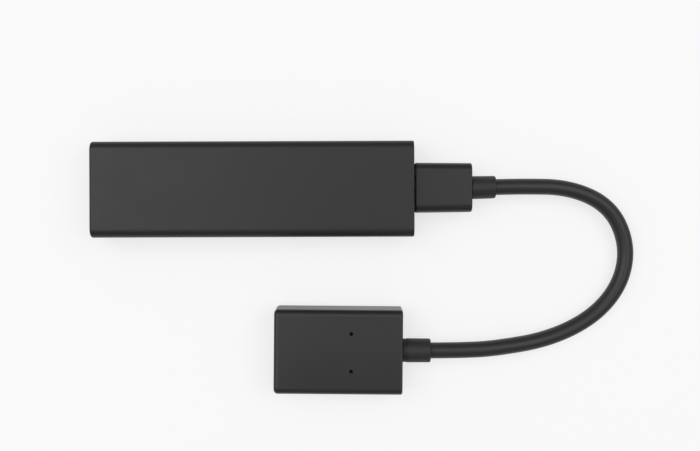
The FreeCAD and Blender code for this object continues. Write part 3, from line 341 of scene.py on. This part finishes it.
def metal(name, tint, roughness, grain, stretch=(1.0, 1.0, 1.0), depth=0.004):
    """Metal sheet or plating: grain is the spacing of its rolling or drawing lines, which run along
    the axis with the smallest stretch."""
    material, tree, place = new_material(name)
    turned = add_node(tree, "ShaderNodeMapping", {"Vector": place, "Scale": stretch})
    lines = add_node(
        tree, "ShaderNodeTexNoise", {"Vector": turned.outputs["Vector"], "Scale": 1 / grain, "Detail": 4.0}
    )
    rough = add_node(
        tree, "ShaderNodeMapRange",
        {"Value": lines.outputs["Fac"], "To Min": roughness - 0.08, "To Max": roughness + 0.08},
    )
    tone = add_node(
        tree, "ShaderNodeValToRGB", {"Fac": lines.outputs["Fac"]},
        stops=((0.25, shade(tint, 0.88)), (0.75, shade(tint, 1.06))),
    )
    bump = add_node(
        tree, "ShaderNodeBump", {"Height": lines.outputs["Fac"], "Strength": 0.3, "Distance": depth * MM}
    )
    return surface(
        material, tree,
        {
            "Base Color": tone.outputs["Color"], "Metallic": 1.0, "Roughness": rough.outputs["Result"],
            "Normal": bump.outputs["Normal"],
        },
    )


def speckled(name, tint, fleck, grain, roughness, amount=0.5):
    """A filled or fired material: flecks of a second colour, one grain wide, over a plain body."""
    material, tree, place = new_material(name)
    cells = add_node(tree, "ShaderNodeTexVoronoi", {"Vector": place, "Scale": 1 / grain})
    tone = add_node(
        tree, "ShaderNodeValToRGB", {"Fac": cells.outputs["Distance"]},
        stops=((0.0, fleck), (amount * 0.4, tint), (1.0, shade(tint, 0.92))),
    )
    bump = add_node(
        tree, "ShaderNodeBump",
        {"Height": cells.outputs["Distance"], "Strength": 0.2, "Distance": 0.01 * MM},
    )
    return surface(
        material, tree,
        {"Base Color": tone.outputs["Color"], "Roughness": roughness, "Normal": bump.outputs["Normal"]},
    )


def solder_mask():
    """Glass laminate under green solder mask: glossy lacquer over tracks that stand a little proud."""
    material, tree, place = new_material("solder_masked_laminate")
    # Tracks run in bundles at a pitch of 0.5 mm, and turn every few millimetres.
    tracks = add_node(
        tree, "ShaderNodeTexBrick",
        {
            "Vector": place, "Scale": 1 / (1 * MM), "Mortar Size": 0.06, "Brick Width": 7.0,
            "Row Height": 0.5, "Color1": linear("#0c4a2c"), "Color2": linear("#0e5531"),
            "Mortar": linear("#1c7a4a"),
        },
        offset=0.37, offset_frequency=3, squash=0.6, squash_frequency=4,
    )
    # Plated holes, one in some 2 mm of board each way.
    holes = add_node(
        tree, "ShaderNodeTexVoronoi", {"Vector": place, "Scale": 1 / (2.2 * MM)}, voronoi_dimensions="2D"
    )
    ring = add_node(tree, "ShaderNodeMath", {0: holes.outputs["Distance"], 1: 0.12}, operation="LESS_THAN")
    tone = add_node(
        tree, "ShaderNodeMix",
        {0: ring.outputs[0], 6: tracks.outputs["Color"], 7: linear("#b9a77a")}, data_type="RGBA",
    )
    bump = add_node(
        tree, "ShaderNodeBump", {"Height": tracks.outputs["Fac"], "Strength": 0.4, "Distance": 0.03 * MM}
    )
    return surface(
        material, tree, {"Base Color": tone.outputs[2], "Roughness": 0.32, "Normal": bump.outputs["Normal"]}
    )


def chip_capacitor():
    """Fired ceramic body with tinned ends, repeated along X with the row's pitch of 4 mm."""
    material, tree, place = new_material("ceramic_chip_capacitor")
    across = add_node(tree, "ShaderNodeSeparateXYZ", {0: place})
    shifted = add_node(tree, "ShaderNodeMath", {0: across.outputs["X"], 1: 1 * MM}, operation="SUBTRACT")
    along = add_node(tree, "ShaderNodeMath", {0: shifted.outputs[0], 1: 2 * MM}, operation="PINGPONG")
    tinned = add_node(tree, "ShaderNodeMath", {0: along.outputs[0], 1: 0.5 * MM}, operation="GREATER_THAN")
    body = add_node(tree, "ShaderNodeTexNoise", {"Vector": place, "Scale": 1 / (0.1 * MM), "Detail": 2.0})
    fired = add_node(
        tree, "ShaderNodeValToRGB", {"Fac": body.outputs["Fac"]},
        stops=((0.3, linear("#8a6a48")), (0.7, linear("#a07e58"))),
    )
    tone = add_node(
        tree, "ShaderNodeMix",
        {0: tinned.outputs[0], 6: fired.outputs["Color"], 7: linear("#c9c8c4")}, data_type="RGBA",
    )
    return surface(
        material, tree, {"Base Color": tone.outputs[2], "Metallic": tinned.outputs[0], "Roughness": 0.38}
    )


def table_paper(tint, glow):
    """Matt coated paper over a table: a faint even tooth and no shine. The camera, and whatever
    mirrors or lets the table through, sees part of its white without the shadows, as in a photograph
    exposed for a white background."""
    material, tree, place = new_material("matt_coated_paper")
    tooth = add_node(tree, "ShaderNodeTexNoise", {"Vector": place, "Scale": 1 / (0.6 * MM), "Detail": 2.0})
    bump = add_node(
        tree, "ShaderNodeBump", {"Height": tooth.outputs["Fac"], "Strength": 0.05, "Distance": 0.02 * MM}
    )
    paper = add_node(
        tree, "ShaderNodeBsdfPrincipled",
        {
            "Base Color": tint, "Roughness": 0.9, "Specular IOR Level": 0.1,
            "Normal": bump.outputs["Normal"],
        },
    )
    rays = add_node(tree, "ShaderNodeLightPath").outputs
    seen = add_node(
        tree, "ShaderNodeMath", {0: rays["Is Camera Ray"], 1: rays["Is Glossy Ray"]}, operation="ADD"
    )
    seen = add_node(
        tree, "ShaderNodeMath", {0: seen.outputs[0], 1: rays["Is Transmission Ray"]},
        operation="ADD", use_clamp=True,
    )
    part = add_node(tree, "ShaderNodeMath", {0: seen.outputs[0], 1: glow}, operation="MULTIPLY")
    white = add_node(tree, "ShaderNodeEmission", {"Color": tint, "Strength": 1.0})
    mixed = add_node(
        tree, "ShaderNodeMixShader", {0: part.outputs[0], 1: paper.outputs[0], 2: white.outputs[0]}
    )
    add_node(tree, "ShaderNodeOutputMaterial", {"Surface": mixed.outputs[0]})
    return material


def finish_nodes(material, *names):
    """Gives CAD pieces a material."""
    for name in names:
        mesh = NODES[name].data
        mesh.materials.clear()
        mesh.materials.append(material)


# Surfaces


def grid_faces(rows, columns, rows_closed, columns_closed):
    """Quads that join neighbours on a grid of rows by columns, and its last to its first where closed."""
    number = np.arange(rows * columns).reshape(rows, columns)
    if rows_closed:
        number = np.vstack((number, number[:1]))
    if columns_closed:
        number = np.hstack((number, number[:, :1]))
    faces = np.stack((number[:-1, :-1], number[:-1, 1:], number[1:, 1:], number[1:, :-1]), -1)
    return faces.reshape(-1, 4).tolist()


def new_piece(name, points, faces, material, body, angle=35):
    """A mesh piece on a body: faces turned outwards, smooth but for edges sharper than the angle."""
    mesh = bpy.data.meshes.new(name)
    mesh.from_pydata(points.tolist(), [], faces)
    whole = bmesh.new()
    whole.from_mesh(mesh)
    bmesh.ops.recalc_face_normals(whole, faces=whole.faces)
    whole.to_mesh(mesh)
    whole.free()
    mesh.shade_smooth()
    mesh.set_sharp_from_angle(angle=math.radians(angle))
    mesh.materials.append(material)
    piece = bpy.data.objects.new(name, mesh)
    bpy.context.scene.collection.objects.link(piece)
    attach(piece, body)
    return piece


def on_block(points):
    """Points on the block's own axes, laid where the block lies: turned about Z, then moved."""
    cosine, sine = math.cos(BLOCK_TURN), math.sin(BLOCK_TURN)
    rotation = np.array(((cosine, sine, 0), (-sine, cosine, 0), (0, 0, 1)))
    return points @ rotation + BLOCK_MIDDLE


def eased(corners, cuts, steps=7, closed=True):
    """A line round the corners with each one eased by a quarter of an ellipse. From the corner C, with
    the directions U back and V ahead along its two sides, it is C + cut ((1 - sin t) U + (1 - cos t) V),
    which at a right angle is a quarter circle."""
    corners, cuts = np.asarray(corners, float), np.asarray(cuts, float)[:, None]
    before, after = np.roll(corners, 1, 0) - corners, np.roll(corners, -1, 0) - corners
    if not closed:
        before[0], after[-1] = after[0], before[-1]
    back = cuts * before / np.linalg.norm(before, axis=1, keepdims=True)
    ahead = cuts * after / np.linalg.norm(after, axis=1, keepdims=True)
    t = np.linspace(0, math.pi / 2, steps)[None, :, None]
    line = corners[:, None] + (1 - np.sin(t)) * back[:, None] + (1 - np.cos(t)) * ahead[:, None]
    if not closed:
        return np.vstack((corners[:1], line[1:-1].reshape(-1, 2), corners[-1:]))
    return line.reshape(-1, 2)


def turned_sleeve(profile, ridge, ridge_width, around=128):
    """Surface of revolution about X. At the angle a a profile point (x, r) lies at y = R cos a and
    z = R sin a, with R = r + h exp(-(r sin a / w)^2): the mould's parting line stands h proud and
    about w wide on both sides. Angles crowd towards the ridge, a = t - 0.42 sin 2t."""
    t = np.linspace(0, 2 * np.pi, around, endpoint=False)
    angle = t - 0.42 * np.sin(2 * t)
    x, r = profile[:, 0, None], profile[:, 1, None]
    radius = r + ridge[:, None] * np.exp(-((r * np.sin(angle) / ridge_width) ** 2))
    return np.stack((np.broadcast_to(x, radius.shape), radius * np.cos(angle), radius * np.sin(angle)), -1)


def bead(path, along, settings):
    """Parting line on a wall, swept along a level path. Where the path is at P and runs along T, the
    outward direction N is T turned a quarter, and the section is P + N h cos a + Z w/2 sin a."""
    outward = np.stack((along[:, 1], -along[:, 0], np.zeros(len(path))), -1)
    outward /= np.linalg.norm(outward, axis=1, keepdims=True)
    angle = np.linspace(0, 2 * np.pi, BEAD_SIDES, endpoint=False)[None, :, None]
    proud = settings.ridge_height * np.cos(angle) * outward[:, None]
    wide = settings.ridge_width / 2 * np.sin(angle) * np.array((0, 0, 1.0))
    return (np.column_stack((path, np.zeros(len(path))))[:, None] + proud + wide).reshape(-1, 3)


def bead_loop(corners, cuts, settings):
    """One closed parting line round the eased corners."""
    path = eased(corners, cuts, steps=9)
    points = bead(path, np.roll(path, -1, 0) - np.roll(path, 1, 0), settings)
    return points, grid_faces(len(path), BEAD_SIDES, True, True)


def bead_pair(corners, cuts, settings):
    """Two parting lines with closed ends round the eased corners, one each side of the XZ plane."""
    path = eased(corners, cuts, steps=9, closed=False)
    points = bead(path, np.gradient(path, axis=0), settings)
    ends = np.arange(BEAD_SIDES)
    faces = grid_faces(len(path), BEAD_SIDES, False, True)
    faces += [ends.tolist(), (ends + len(points) - BEAD_SIDES).tolist()]
    more = [[number + len(points) for number in face] for face in faces]
    return np.vstack((points, points * (1, -1, 1))), faces + more


# Dark collar round the plug's root, painted shade for the joint


def collar_ring(section, inner, outer):
    """Ring between two outlines across X. Where the section is at (x, s), it runs through the points
    x, I + s (O - I), with I on the inner outline and O on the outer."""
    across = inner + section[:, 1, None, None] * (outer - inner)
    along = np.broadcast_to(section[:, 0, None, None], (*across.shape[:2], 1))
    return np.concatenate((along, across), -1)


def place_shade_collar(polymer):
    """Makes the collar, which closes the housing's opening round the plug. It is a dark piece that fills
    the joint with black, standing in for the shade there as painted shade.
    """
    section = eased(SHADE_COLLAR_SECTION[:, :2], SHADE_COLLAR_SECTION[:, 2], steps=5)
    cuts = [OUTLINE_CUT] * len(PLUG_OUTLINE)
    ring = collar_ring(section, eased(PLUG_OUTLINE, cuts), eased(SHADE_COLLAR_OUTLINE, cuts))
    points = (ring * MM + COUPLER_MOUTH).reshape(-1, 3)
    faces = grid_faces(*ring.shape[:2], True, True)
    new_piece("plug_shade_collar", points, faces, polymer, "stick")


# Strain reliefs


def relief_surface(wall, sleeve, ridge_start, settings):
    """A strain relief's surface, with its wall's outer face at X = 0. Its section is the line round the
    corners (x, r), each with its cut, all in millimetres: the flange behind the wall, the neck through
    it, the sleeve's own corners and the bore at the tip. The parting line stands only on the sleeve,
    from the ridge's start to a little before the tip."""
    front = -wall - FLANGE_GAP
    back = front - FLANGE_THICKNESS
    inside = (
        (back, RELIEF_BORE, 0.05), (back, RELIEF_FLANGE, 0.15), (front, RELIEF_FLANGE, 0.15),
        (front, RELIEF_NECK, 0.05), (0, RELIEF_NECK, 0.05),
    )
    tip = sleeve[-1][0]
    corners = np.array((*inside, *sleeve, (tip, RELIEF_BORE, 0.12)))
    section = eased(corners[:, :2], corners[:, 2])
    x, r = section[:, 0], section[:, 1]
    along = (x > ridge_start + RIDGE_CLEAR) & (x < tip - RIDGE_CLEAR_TIP)
    ridge = settings.ridge_height * (along & (r > RELIEF_FLANGE + RIDGE_CLEAR))
    return turned_sleeve(section * MM, ridge, settings.ridge_width / 2)


def place_relief(name, grid, vinyl, node):
    """Makes a strain relief from its grid of points, in place of its CAD piece."""
    faces = grid_faces(*grid.shape[:2], True, True)
    piece = new_piece(name, grid.reshape(-1, 3), faces, vinyl, "lead")
    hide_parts(node)


# Table, camera and light


def soft_lamp(scene, name, power, place):
    """A lamp as large as a softbox, turned towards the middle of the view."""
    light = bpy.data.lights.new(name, "AREA")
    light.shape, light.size, light.size_y = "RECTANGLE", *SOFTBOX
    light.energy = power
    lamp = bpy.data.objects.new(name, light)
    lamp.location = place
    # It shines along its own -Z.
    x, y, z = np.array((*VIEW_CENTRE, 0)) - place
    lamp.rotation_euler = math.atan2(math.hypot(x, y), -z), 0, math.atan2(-x, y)
    scene.collection.objects.link(lamp)


def studio_world(settings):
    """Even light that grows from the horizon upwards. The camera and its dark stand take up the sky to
    some 10 degrees from straight above."""
    world = bpy.data.worlds.new("studio")
    world.use_nodes = True
    tree = world.node_tree
    tree.nodes.clear()
    direction = add_node(tree, "ShaderNodeTexCoord").outputs["Generated"]
    height = add_node(tree, "ShaderNodeSeparateXYZ", {0: direction}).outputs["Z"]
    levels = (
        (0.0, settings.horizon), (STAND_EDGE - STAND_FADE, settings.room), (STAND_EDGE, settings.stand)
    )
    stops = [(place, (level, level, level, 1.0)) for place, level in levels]
    strength = add_node(tree, "ShaderNodeValToRGB", {"Fac": height}, stops=stops).outputs["Color"]
    even = add_node(tree, "ShaderNodeBackground", {"Color": linear("#fdfdff"), "Strength": strength})
    add_node(tree, "ShaderNodeOutputWorld", {"Surface": even.outputs[0]})
    return world


# Operators


class MakeStage(bpy.types.Operator):
    """Pale paper table, camera straight over it, two large soft lamps and even light from all round"""

    bl_idname = "media_stick.stage"
    bl_label = "Stage"
    bl_options = {"REGISTER", "UNDO"}

    def execute(self, context):
        scene = context.scene
        settings = scene.stage_settings
        side = np.linspace(-TABLE_REACH, TABLE_REACH, TABLE_LINES)
        x, y = np.meshgrid(side, side)
        mesh = bpy.data.meshes.new("table")
        points = np.stack((x, y, np.zeros_like(x)), -1).reshape(-1, 3)
        mesh.from_pydata(points.tolist(), [], grid_faces(TABLE_LINES, TABLE_LINES, False, False))
        mesh.materials.append(table_paper(settings.table, settings.glow))
        table = bpy.data.objects.new("table", mesh)
        scene.collection.objects.link(table)

        camera = bpy.data.cameras.new("camera")
        camera.lens, camera.sensor_width = settings.lens, SENSOR
        camera.clip_start, camera.clip_end = VIEW_REACH
        eye = bpy.data.objects.new("camera", camera)
        eye.location = (*VIEW_CENTRE, settings.camera_height)
        eye.rotation_euler = (0, 0, settings.roll)
        scene.collection.objects.link(eye)
        scene.camera = eye

        soft_lamp(scene, "left_lamp", settings.left, LEFT_LAMP)
        soft_lamp(scene, "right_lamp", settings.right, RIGHT_LAMP)
        scene.world = studio_world(settings)
        scene.view_settings.view_transform = "Standard"
        return {"FINISHED"}


class MakeCable(bpy.types.Operator):
    """Short round cable in one loose turn, and its ends inside the two strain reliefs"""

    bl_idname = "media_stick.cable"
    bl_label = "Cable"
    bl_options = {"REGISTER", "UNDO"}

    def execute(self, context):
        settings = context.scene.lead_settings
        jacket = extruded_jacket(settings.jacket)
        curve = bpy.data.curves.new("cable", "CURVE")
        curve.dimensions = "3D"
        curve.resolution_u, curve.bevel_resolution = 24, 10
        curve.bevel_depth = settings.cable_diameter / 2
        curve.use_fill_caps = True
        spline = curve.splines.new("NURBS")
        spline.points.add(len(CABLE_POINTS) - 1)
        spline.points.foreach_set("co", np.column_stack((CABLE_POINTS, np.ones(len(CABLE_POINTS)))).ravel())
        spline.order_u, spline.use_endpoint_u = 3, True
        curve.materials.append(jacket)
        cable = bpy.data.objects.new("cable", curve)
        context.scene.collection.objects.link(cable)
        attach(cable, "lead")
        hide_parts("lead_cable")
        finish_nodes(jacket, "coupler_cable_end", "block_cable_end")
        return {"FINISHED"}


class MakeReliefs(bpy.types.Operator):
    """Moulded strain reliefs behind the coupler and the block"""

    bl_idname = "media_stick.reliefs"
    bl_label = "Strain reliefs"
    bl_options = {"REGISTER", "UNDO"}

    def execute(self, context):
        settings = context.scene.lead_settings
        # Soft PVC from a blasted mould: the dullest black of the lead.
        vinyl = moulded_vinyl("moulded_soft_pvc", settings.jacket, 0.25 * MM, 0.52)
        # Corners (x, r) of each sleeve outside its wall, each with its cut, in millimetres.
        sleeve = ((0, 3.55, 0.2), (7.6, 3.475, 0.4))
        grid = relief_surface(COUPLER_WALL, sleeve, 0, settings)
        grid[..., 1] += RELIEF_LEAN * np.maximum(grid[..., 0], 0)
        grid += COUPLER_MOUTH + (COUPLER_LENGTH, 0, 0)
        place_relief("coupler_strain_relief", grid, vinyl, "coupler_relief")

        # Next to the block's wall a shallow band runs round the sleeve.
        band = ((0, 3.66, 0.05), (1.4, 3.65, 0.03), (1.4, 3.77, 0.05))
        sleeve = (*band, (8.9, 3.7, 0.4))
        grid = relief_surface(BLOCK_WALL, sleeve, band[-1][0], settings)
        grid[..., 0] += BLOCK_LENGTH / 2
        place_relief("block_strain_relief", on_block(grid), vinyl, "block_relief")
        return {"FINISHED"}


class MakeOvermoulds(bpy.types.Operator):
    """Moulded bodies of the coupler and the block, with the parting lines of their moulds"""

    bl_idname = "media_stick.overmoulds"
    bl_label = "Coupler and block"
    bl_options = {"REGISTER", "UNDO"}

    def execute(self, context):
        settings = context.scene.lead_settings
        # The block's mould leaves an even satin.
        block = moulded_vinyl("overmoulded_pvc", settings.overmould, 0.3 * MM, settings.roughness)
        # The coupler's mould has a finer grain, which keeps back a sixth of the sheen.
        coupler = moulded_vinyl(
            "fine_overmoulded_pvc", settings.overmould, 0.22 * MM, settings.roughness, shine=0.42
        )
        finish_nodes(block, "block_body")
        finish_nodes(coupler, "coupler_body")

        half, across = BLOCK_LENGTH / 2, BLOCK_WIDEST / 2
        corners = ((half, across), (-half, across), (-half, -across), (half, -across))
        rounds = (BLOCK_BACK_ROUND, BLOCK_FRONT_ROUND, BLOCK_FRONT_ROUND, BLOCK_BACK_ROUND)
        points, faces = bead_loop(corners, rounds, settings)
        points += (0, BLOCK_ASIDE, BLOCK_WIDEST_AT - BLOCK_MIDDLE[2])
        new_piece("block_parting_line", on_block(points), faces, block, "lead")

        corners = (
            (COUPLER_LENGTH, COUPLER_BEAD_START), (COUPLER_LENGTH, COUPLER_END_WIDTH / 2),
            (COUPLER_BEAD_END, COUPLER_MOUTH_WIDTH / 2),
        )
        points, faces = bead_pair(corners, (0, COUPLER_END_ROUND, 0), settings)
        new_piece("coupler_parting_line", points + COUPLER_MOUTH, faces, coupler, "lead")
        return {"FINISHED"}


class FinishHousing(bpy.types.Operator):
    """The stick's two housing shells"""

    bl_idname = "media_stick.housing"
    bl_label = "Housing"
    bl_options = {"REGISTER", "UNDO"}

    def execute(self, context):
        settings = context.scene.stick_settings
        moulded = spark_eroded_abs(settings.housing, settings.grain, settings.roughness)
        finish_nodes(moulded, "top_shell", "bottom_shell")
        return {"FINISHED"}


class FinishConnectors(bpy.types.Operator):
    """Shells, insulators and contacts of the plug and the sockets, and the dark collar round the plug's
    root, painted shade for the joint
    """

    bl_idname = "media_stick.connectors"
    bl_label = "Plug and sockets"
    bl_options = {"REGISTER", "UNDO"}

    def execute(self, context):
        # Deep-drawn steel under bright nickel: pale warm grey, with fine lines along the draw.
        nickel = metal("nickel_plated_steel", linear("#b9b5ad"), 0.28, 0.12 * MM, (0.08, 1, 1))
        finish_nodes(
            nickel, "plug_shell", "power_socket_shell", "coupler_socket_shell", "block_socket_shell"
        )
        # Glass-filled liquid crystal polymer: matt black with pale fibre ends.
        polymer = speckled(
            "glass_filled_polymer", linear("#1a1a1a"), linear("#343434"), 0.15 * MM, 0.55, amount=0.3
        )
        finish_nodes(
            polymer, "plug_insulator", "power_socket_tongue", "coupler_insulator", "block_insulator"
        )
        # The collar's black fills the joint between stick and coupler as painted shade.
        place_shade_collar(polymer)
        # Stamped copper alloy under flash gold.
        gold = metal("gold_plated_contact", linear("#d8b25e"), 0.22, 0.1 * MM, (0.1, 1, 1), depth=0.002)
        finish_nodes(gold, "plug_contacts", "power_socket_contacts", "coupler_contacts", "block_contacts")
        return {"FINISHED"}


class FinishBoard(bpy.types.Operator):
    """The stick's main board with its chips, shields and small parts, and the block's small board"""

    bl_idname = "media_stick.board"
    bl_label = "Boards"
    bl_options = {"REGISTER", "UNDO"}

    def execute(self, context):
        finish_nodes(solder_mask(), "main_board", "block_board")
        # Epoxy moulded round the chip: dark grey, matt, with a fine silica filler.
        epoxy = speckled("moulded_epoxy", linear("#1d1e1f"), linear("#2e2f30"), 0.1 * MM, 0.6, amount=0.4)
        finish_nodes(epoxy, "processor", "memory_chip", "flash_chip", "power_chip")
        # Cold rolled sheet with a flowed tin coat: bright, faintly grained along the rolling.
        tin = metal("flowed_tinplate", linear("#c4c4c0"), 0.3, 0.25 * MM, (0.15, 1, 1))
        finish_nodes(
            tin, "wireless_module", "crystals", "upper_shield_frame", "upper_shield_lid",
            "lower_shield_frame", "lower_shield_lid", "block_upper_shield", "block_lower_shield",
        )
        # Pressed and sintered iron powder: charcoal with lighter grains, dry.
        ferrite = speckled("sintered_ferrite", linear("#3a3a3b"), linear("#5a5a5c"), 0.12 * MM, 0.7)
        finish_nodes(ferrite, "inductors")
        finish_nodes(chip_capacitor(), "capacitors")
        return {"FINISHED"}


class FinishHeatPath(bpy.types.Operator):
    """Thermal pads, heat spreaders and the two antennas"""

    bl_idname = "media_stick.heat_path"
    bl_label = "Heat path and antennas"
    bl_options = {"REGISTER", "UNDO"}

    def execute(self, context):
        # Filled silicone: soft, chalky, with pale filler grains.
        silicone = speckled("filled_silicone_pad", linear("#8f97a3"), linear("#a9b0bb"), 0.2 * MM, 0.85)
        finish_nodes(silicone, "processor_pad", "flash_pad", "upper_lid_pad", "lower_lid_pad")
        # Mill-finish sheet: rolling lines along the length.
        rolled = metal("rolled_aluminium", linear("#d3d4d6"), 0.36, 0.2 * MM, (0.05, 1, 1), depth=0.006)
        finish_nodes(rolled, "upper_heat_spreader", "lower_heat_spreader")
        # Stamped phosphor bronze, gold flashed where the springs touch.
        bronze = metal("stamped_phosphor_bronze", linear("#c99c6a"), 0.3, 0.15 * MM, (0.12, 1, 1))
        finish_nodes(bronze, "left_antenna", "right_antenna")
        return {"FINISHED"}


class FinishLead(bpy.types.Operator):
    """What the coupler and the block hold: inner mouldings, wires and the block's crimped ring"""

    bl_idname = "media_stick.lead_inside"
    bl_label = "Inside of the lead"
    bl_options = {"REGISTER", "UNDO"}

    def execute(self, context):
        # Low-density polyethylene shot over the joints before the outer skin, full of carbon black: all
        # that shows of it is the floor of the block's two pinholes, which look black. Its near-black is
        # darker than the lead's other blacks and is partly painted shade for those deep holes.
        inner = speckled(
            "shot_polyethylene_painted_shade", linear("#060606"), linear("#0b0b0b"), 0.5 * MM, 0.75, amount=0.8
        )
        finish_nodes(inner, "coupler_core", "block_core")
        # Extruded insulation over stranded copper: the strands show as faint waves.
        wire = speckled("extruded_wire_insulation", linear("#b4573a"), linear("#c06a4c"), 0.3 * MM, 0.4)
        finish_nodes(wire, "coupler_wires", "block_wires")
        # Rolled brass strip closed round the braid.
        brass = metal("rolled_brass", linear("#d6b377"), 0.3, 0.15 * MM, (1, 1, 0.1))
        finish_nodes(brass, "block_crimp")
        return {"FINISHED"}


class DeclareCord(bpy.types.Operator):
    """Does nothing. It is the last step, once the pieces on the cable are there."""

    bl_idname = "media_stick.cord"
    bl_label = "Cord"
    bl_options = {"REGISTER", "UNDO"}

    def execute(self, context):
        return {"FINISHED"}


OPERATORS = (
    MakeStage, MakeCable, MakeReliefs, MakeOvermoulds, FinishHousing, FinishConnectors, FinishBoard,
    FinishHeatPath, FinishLead, DeclareCord,
)
SETTINGS = {
    "stick_settings": StickSettings, "lead_settings": LeadSettings, "stage_settings": StageSettings,
}


class MediaStickPanel(bpy.types.Panel):
    """Sizes, colours and the steps that make the object"""

    bl_idname = "VIEW3D_PT_media_stick"
    bl_label = "Media Stick"
    bl_space_type = "VIEW_3D"
    bl_region_type = "UI"
    bl_category = "Media Stick"

    def draw(self, context):
        for group, kind in SETTINGS.items():
            box = self.layout.box()
            for name in kind.__annotations__:
                box.prop(getattr(context.scene, group), name)
        for operator in OPERATORS:
            self.layout.operator(operator.bl_idname)


def register():
    for kind in (*SETTINGS.values(), *OPERATORS, MediaStickPanel):
        bpy.utils.register_class(kind)
    for group, kind in SETTINGS.items():
        setattr(bpy.types.Scene, group, bpy.props.PointerProperty(type=kind))


def unregister():
    for group in SETTINGS:
        delattr(bpy.types.Scene, group)
    for kind in reversed((*SETTINGS.values(), *OPERATORS, MediaStickPanel)):
        bpy.utils.unregister_class(kind)


def main():
    register()
    for operator in OPERATORS:
        group, name = operator.bl_idname.split(".")
        getattr(getattr(bpy.ops, group), name)()


if __name__ == "__main__":
    main()
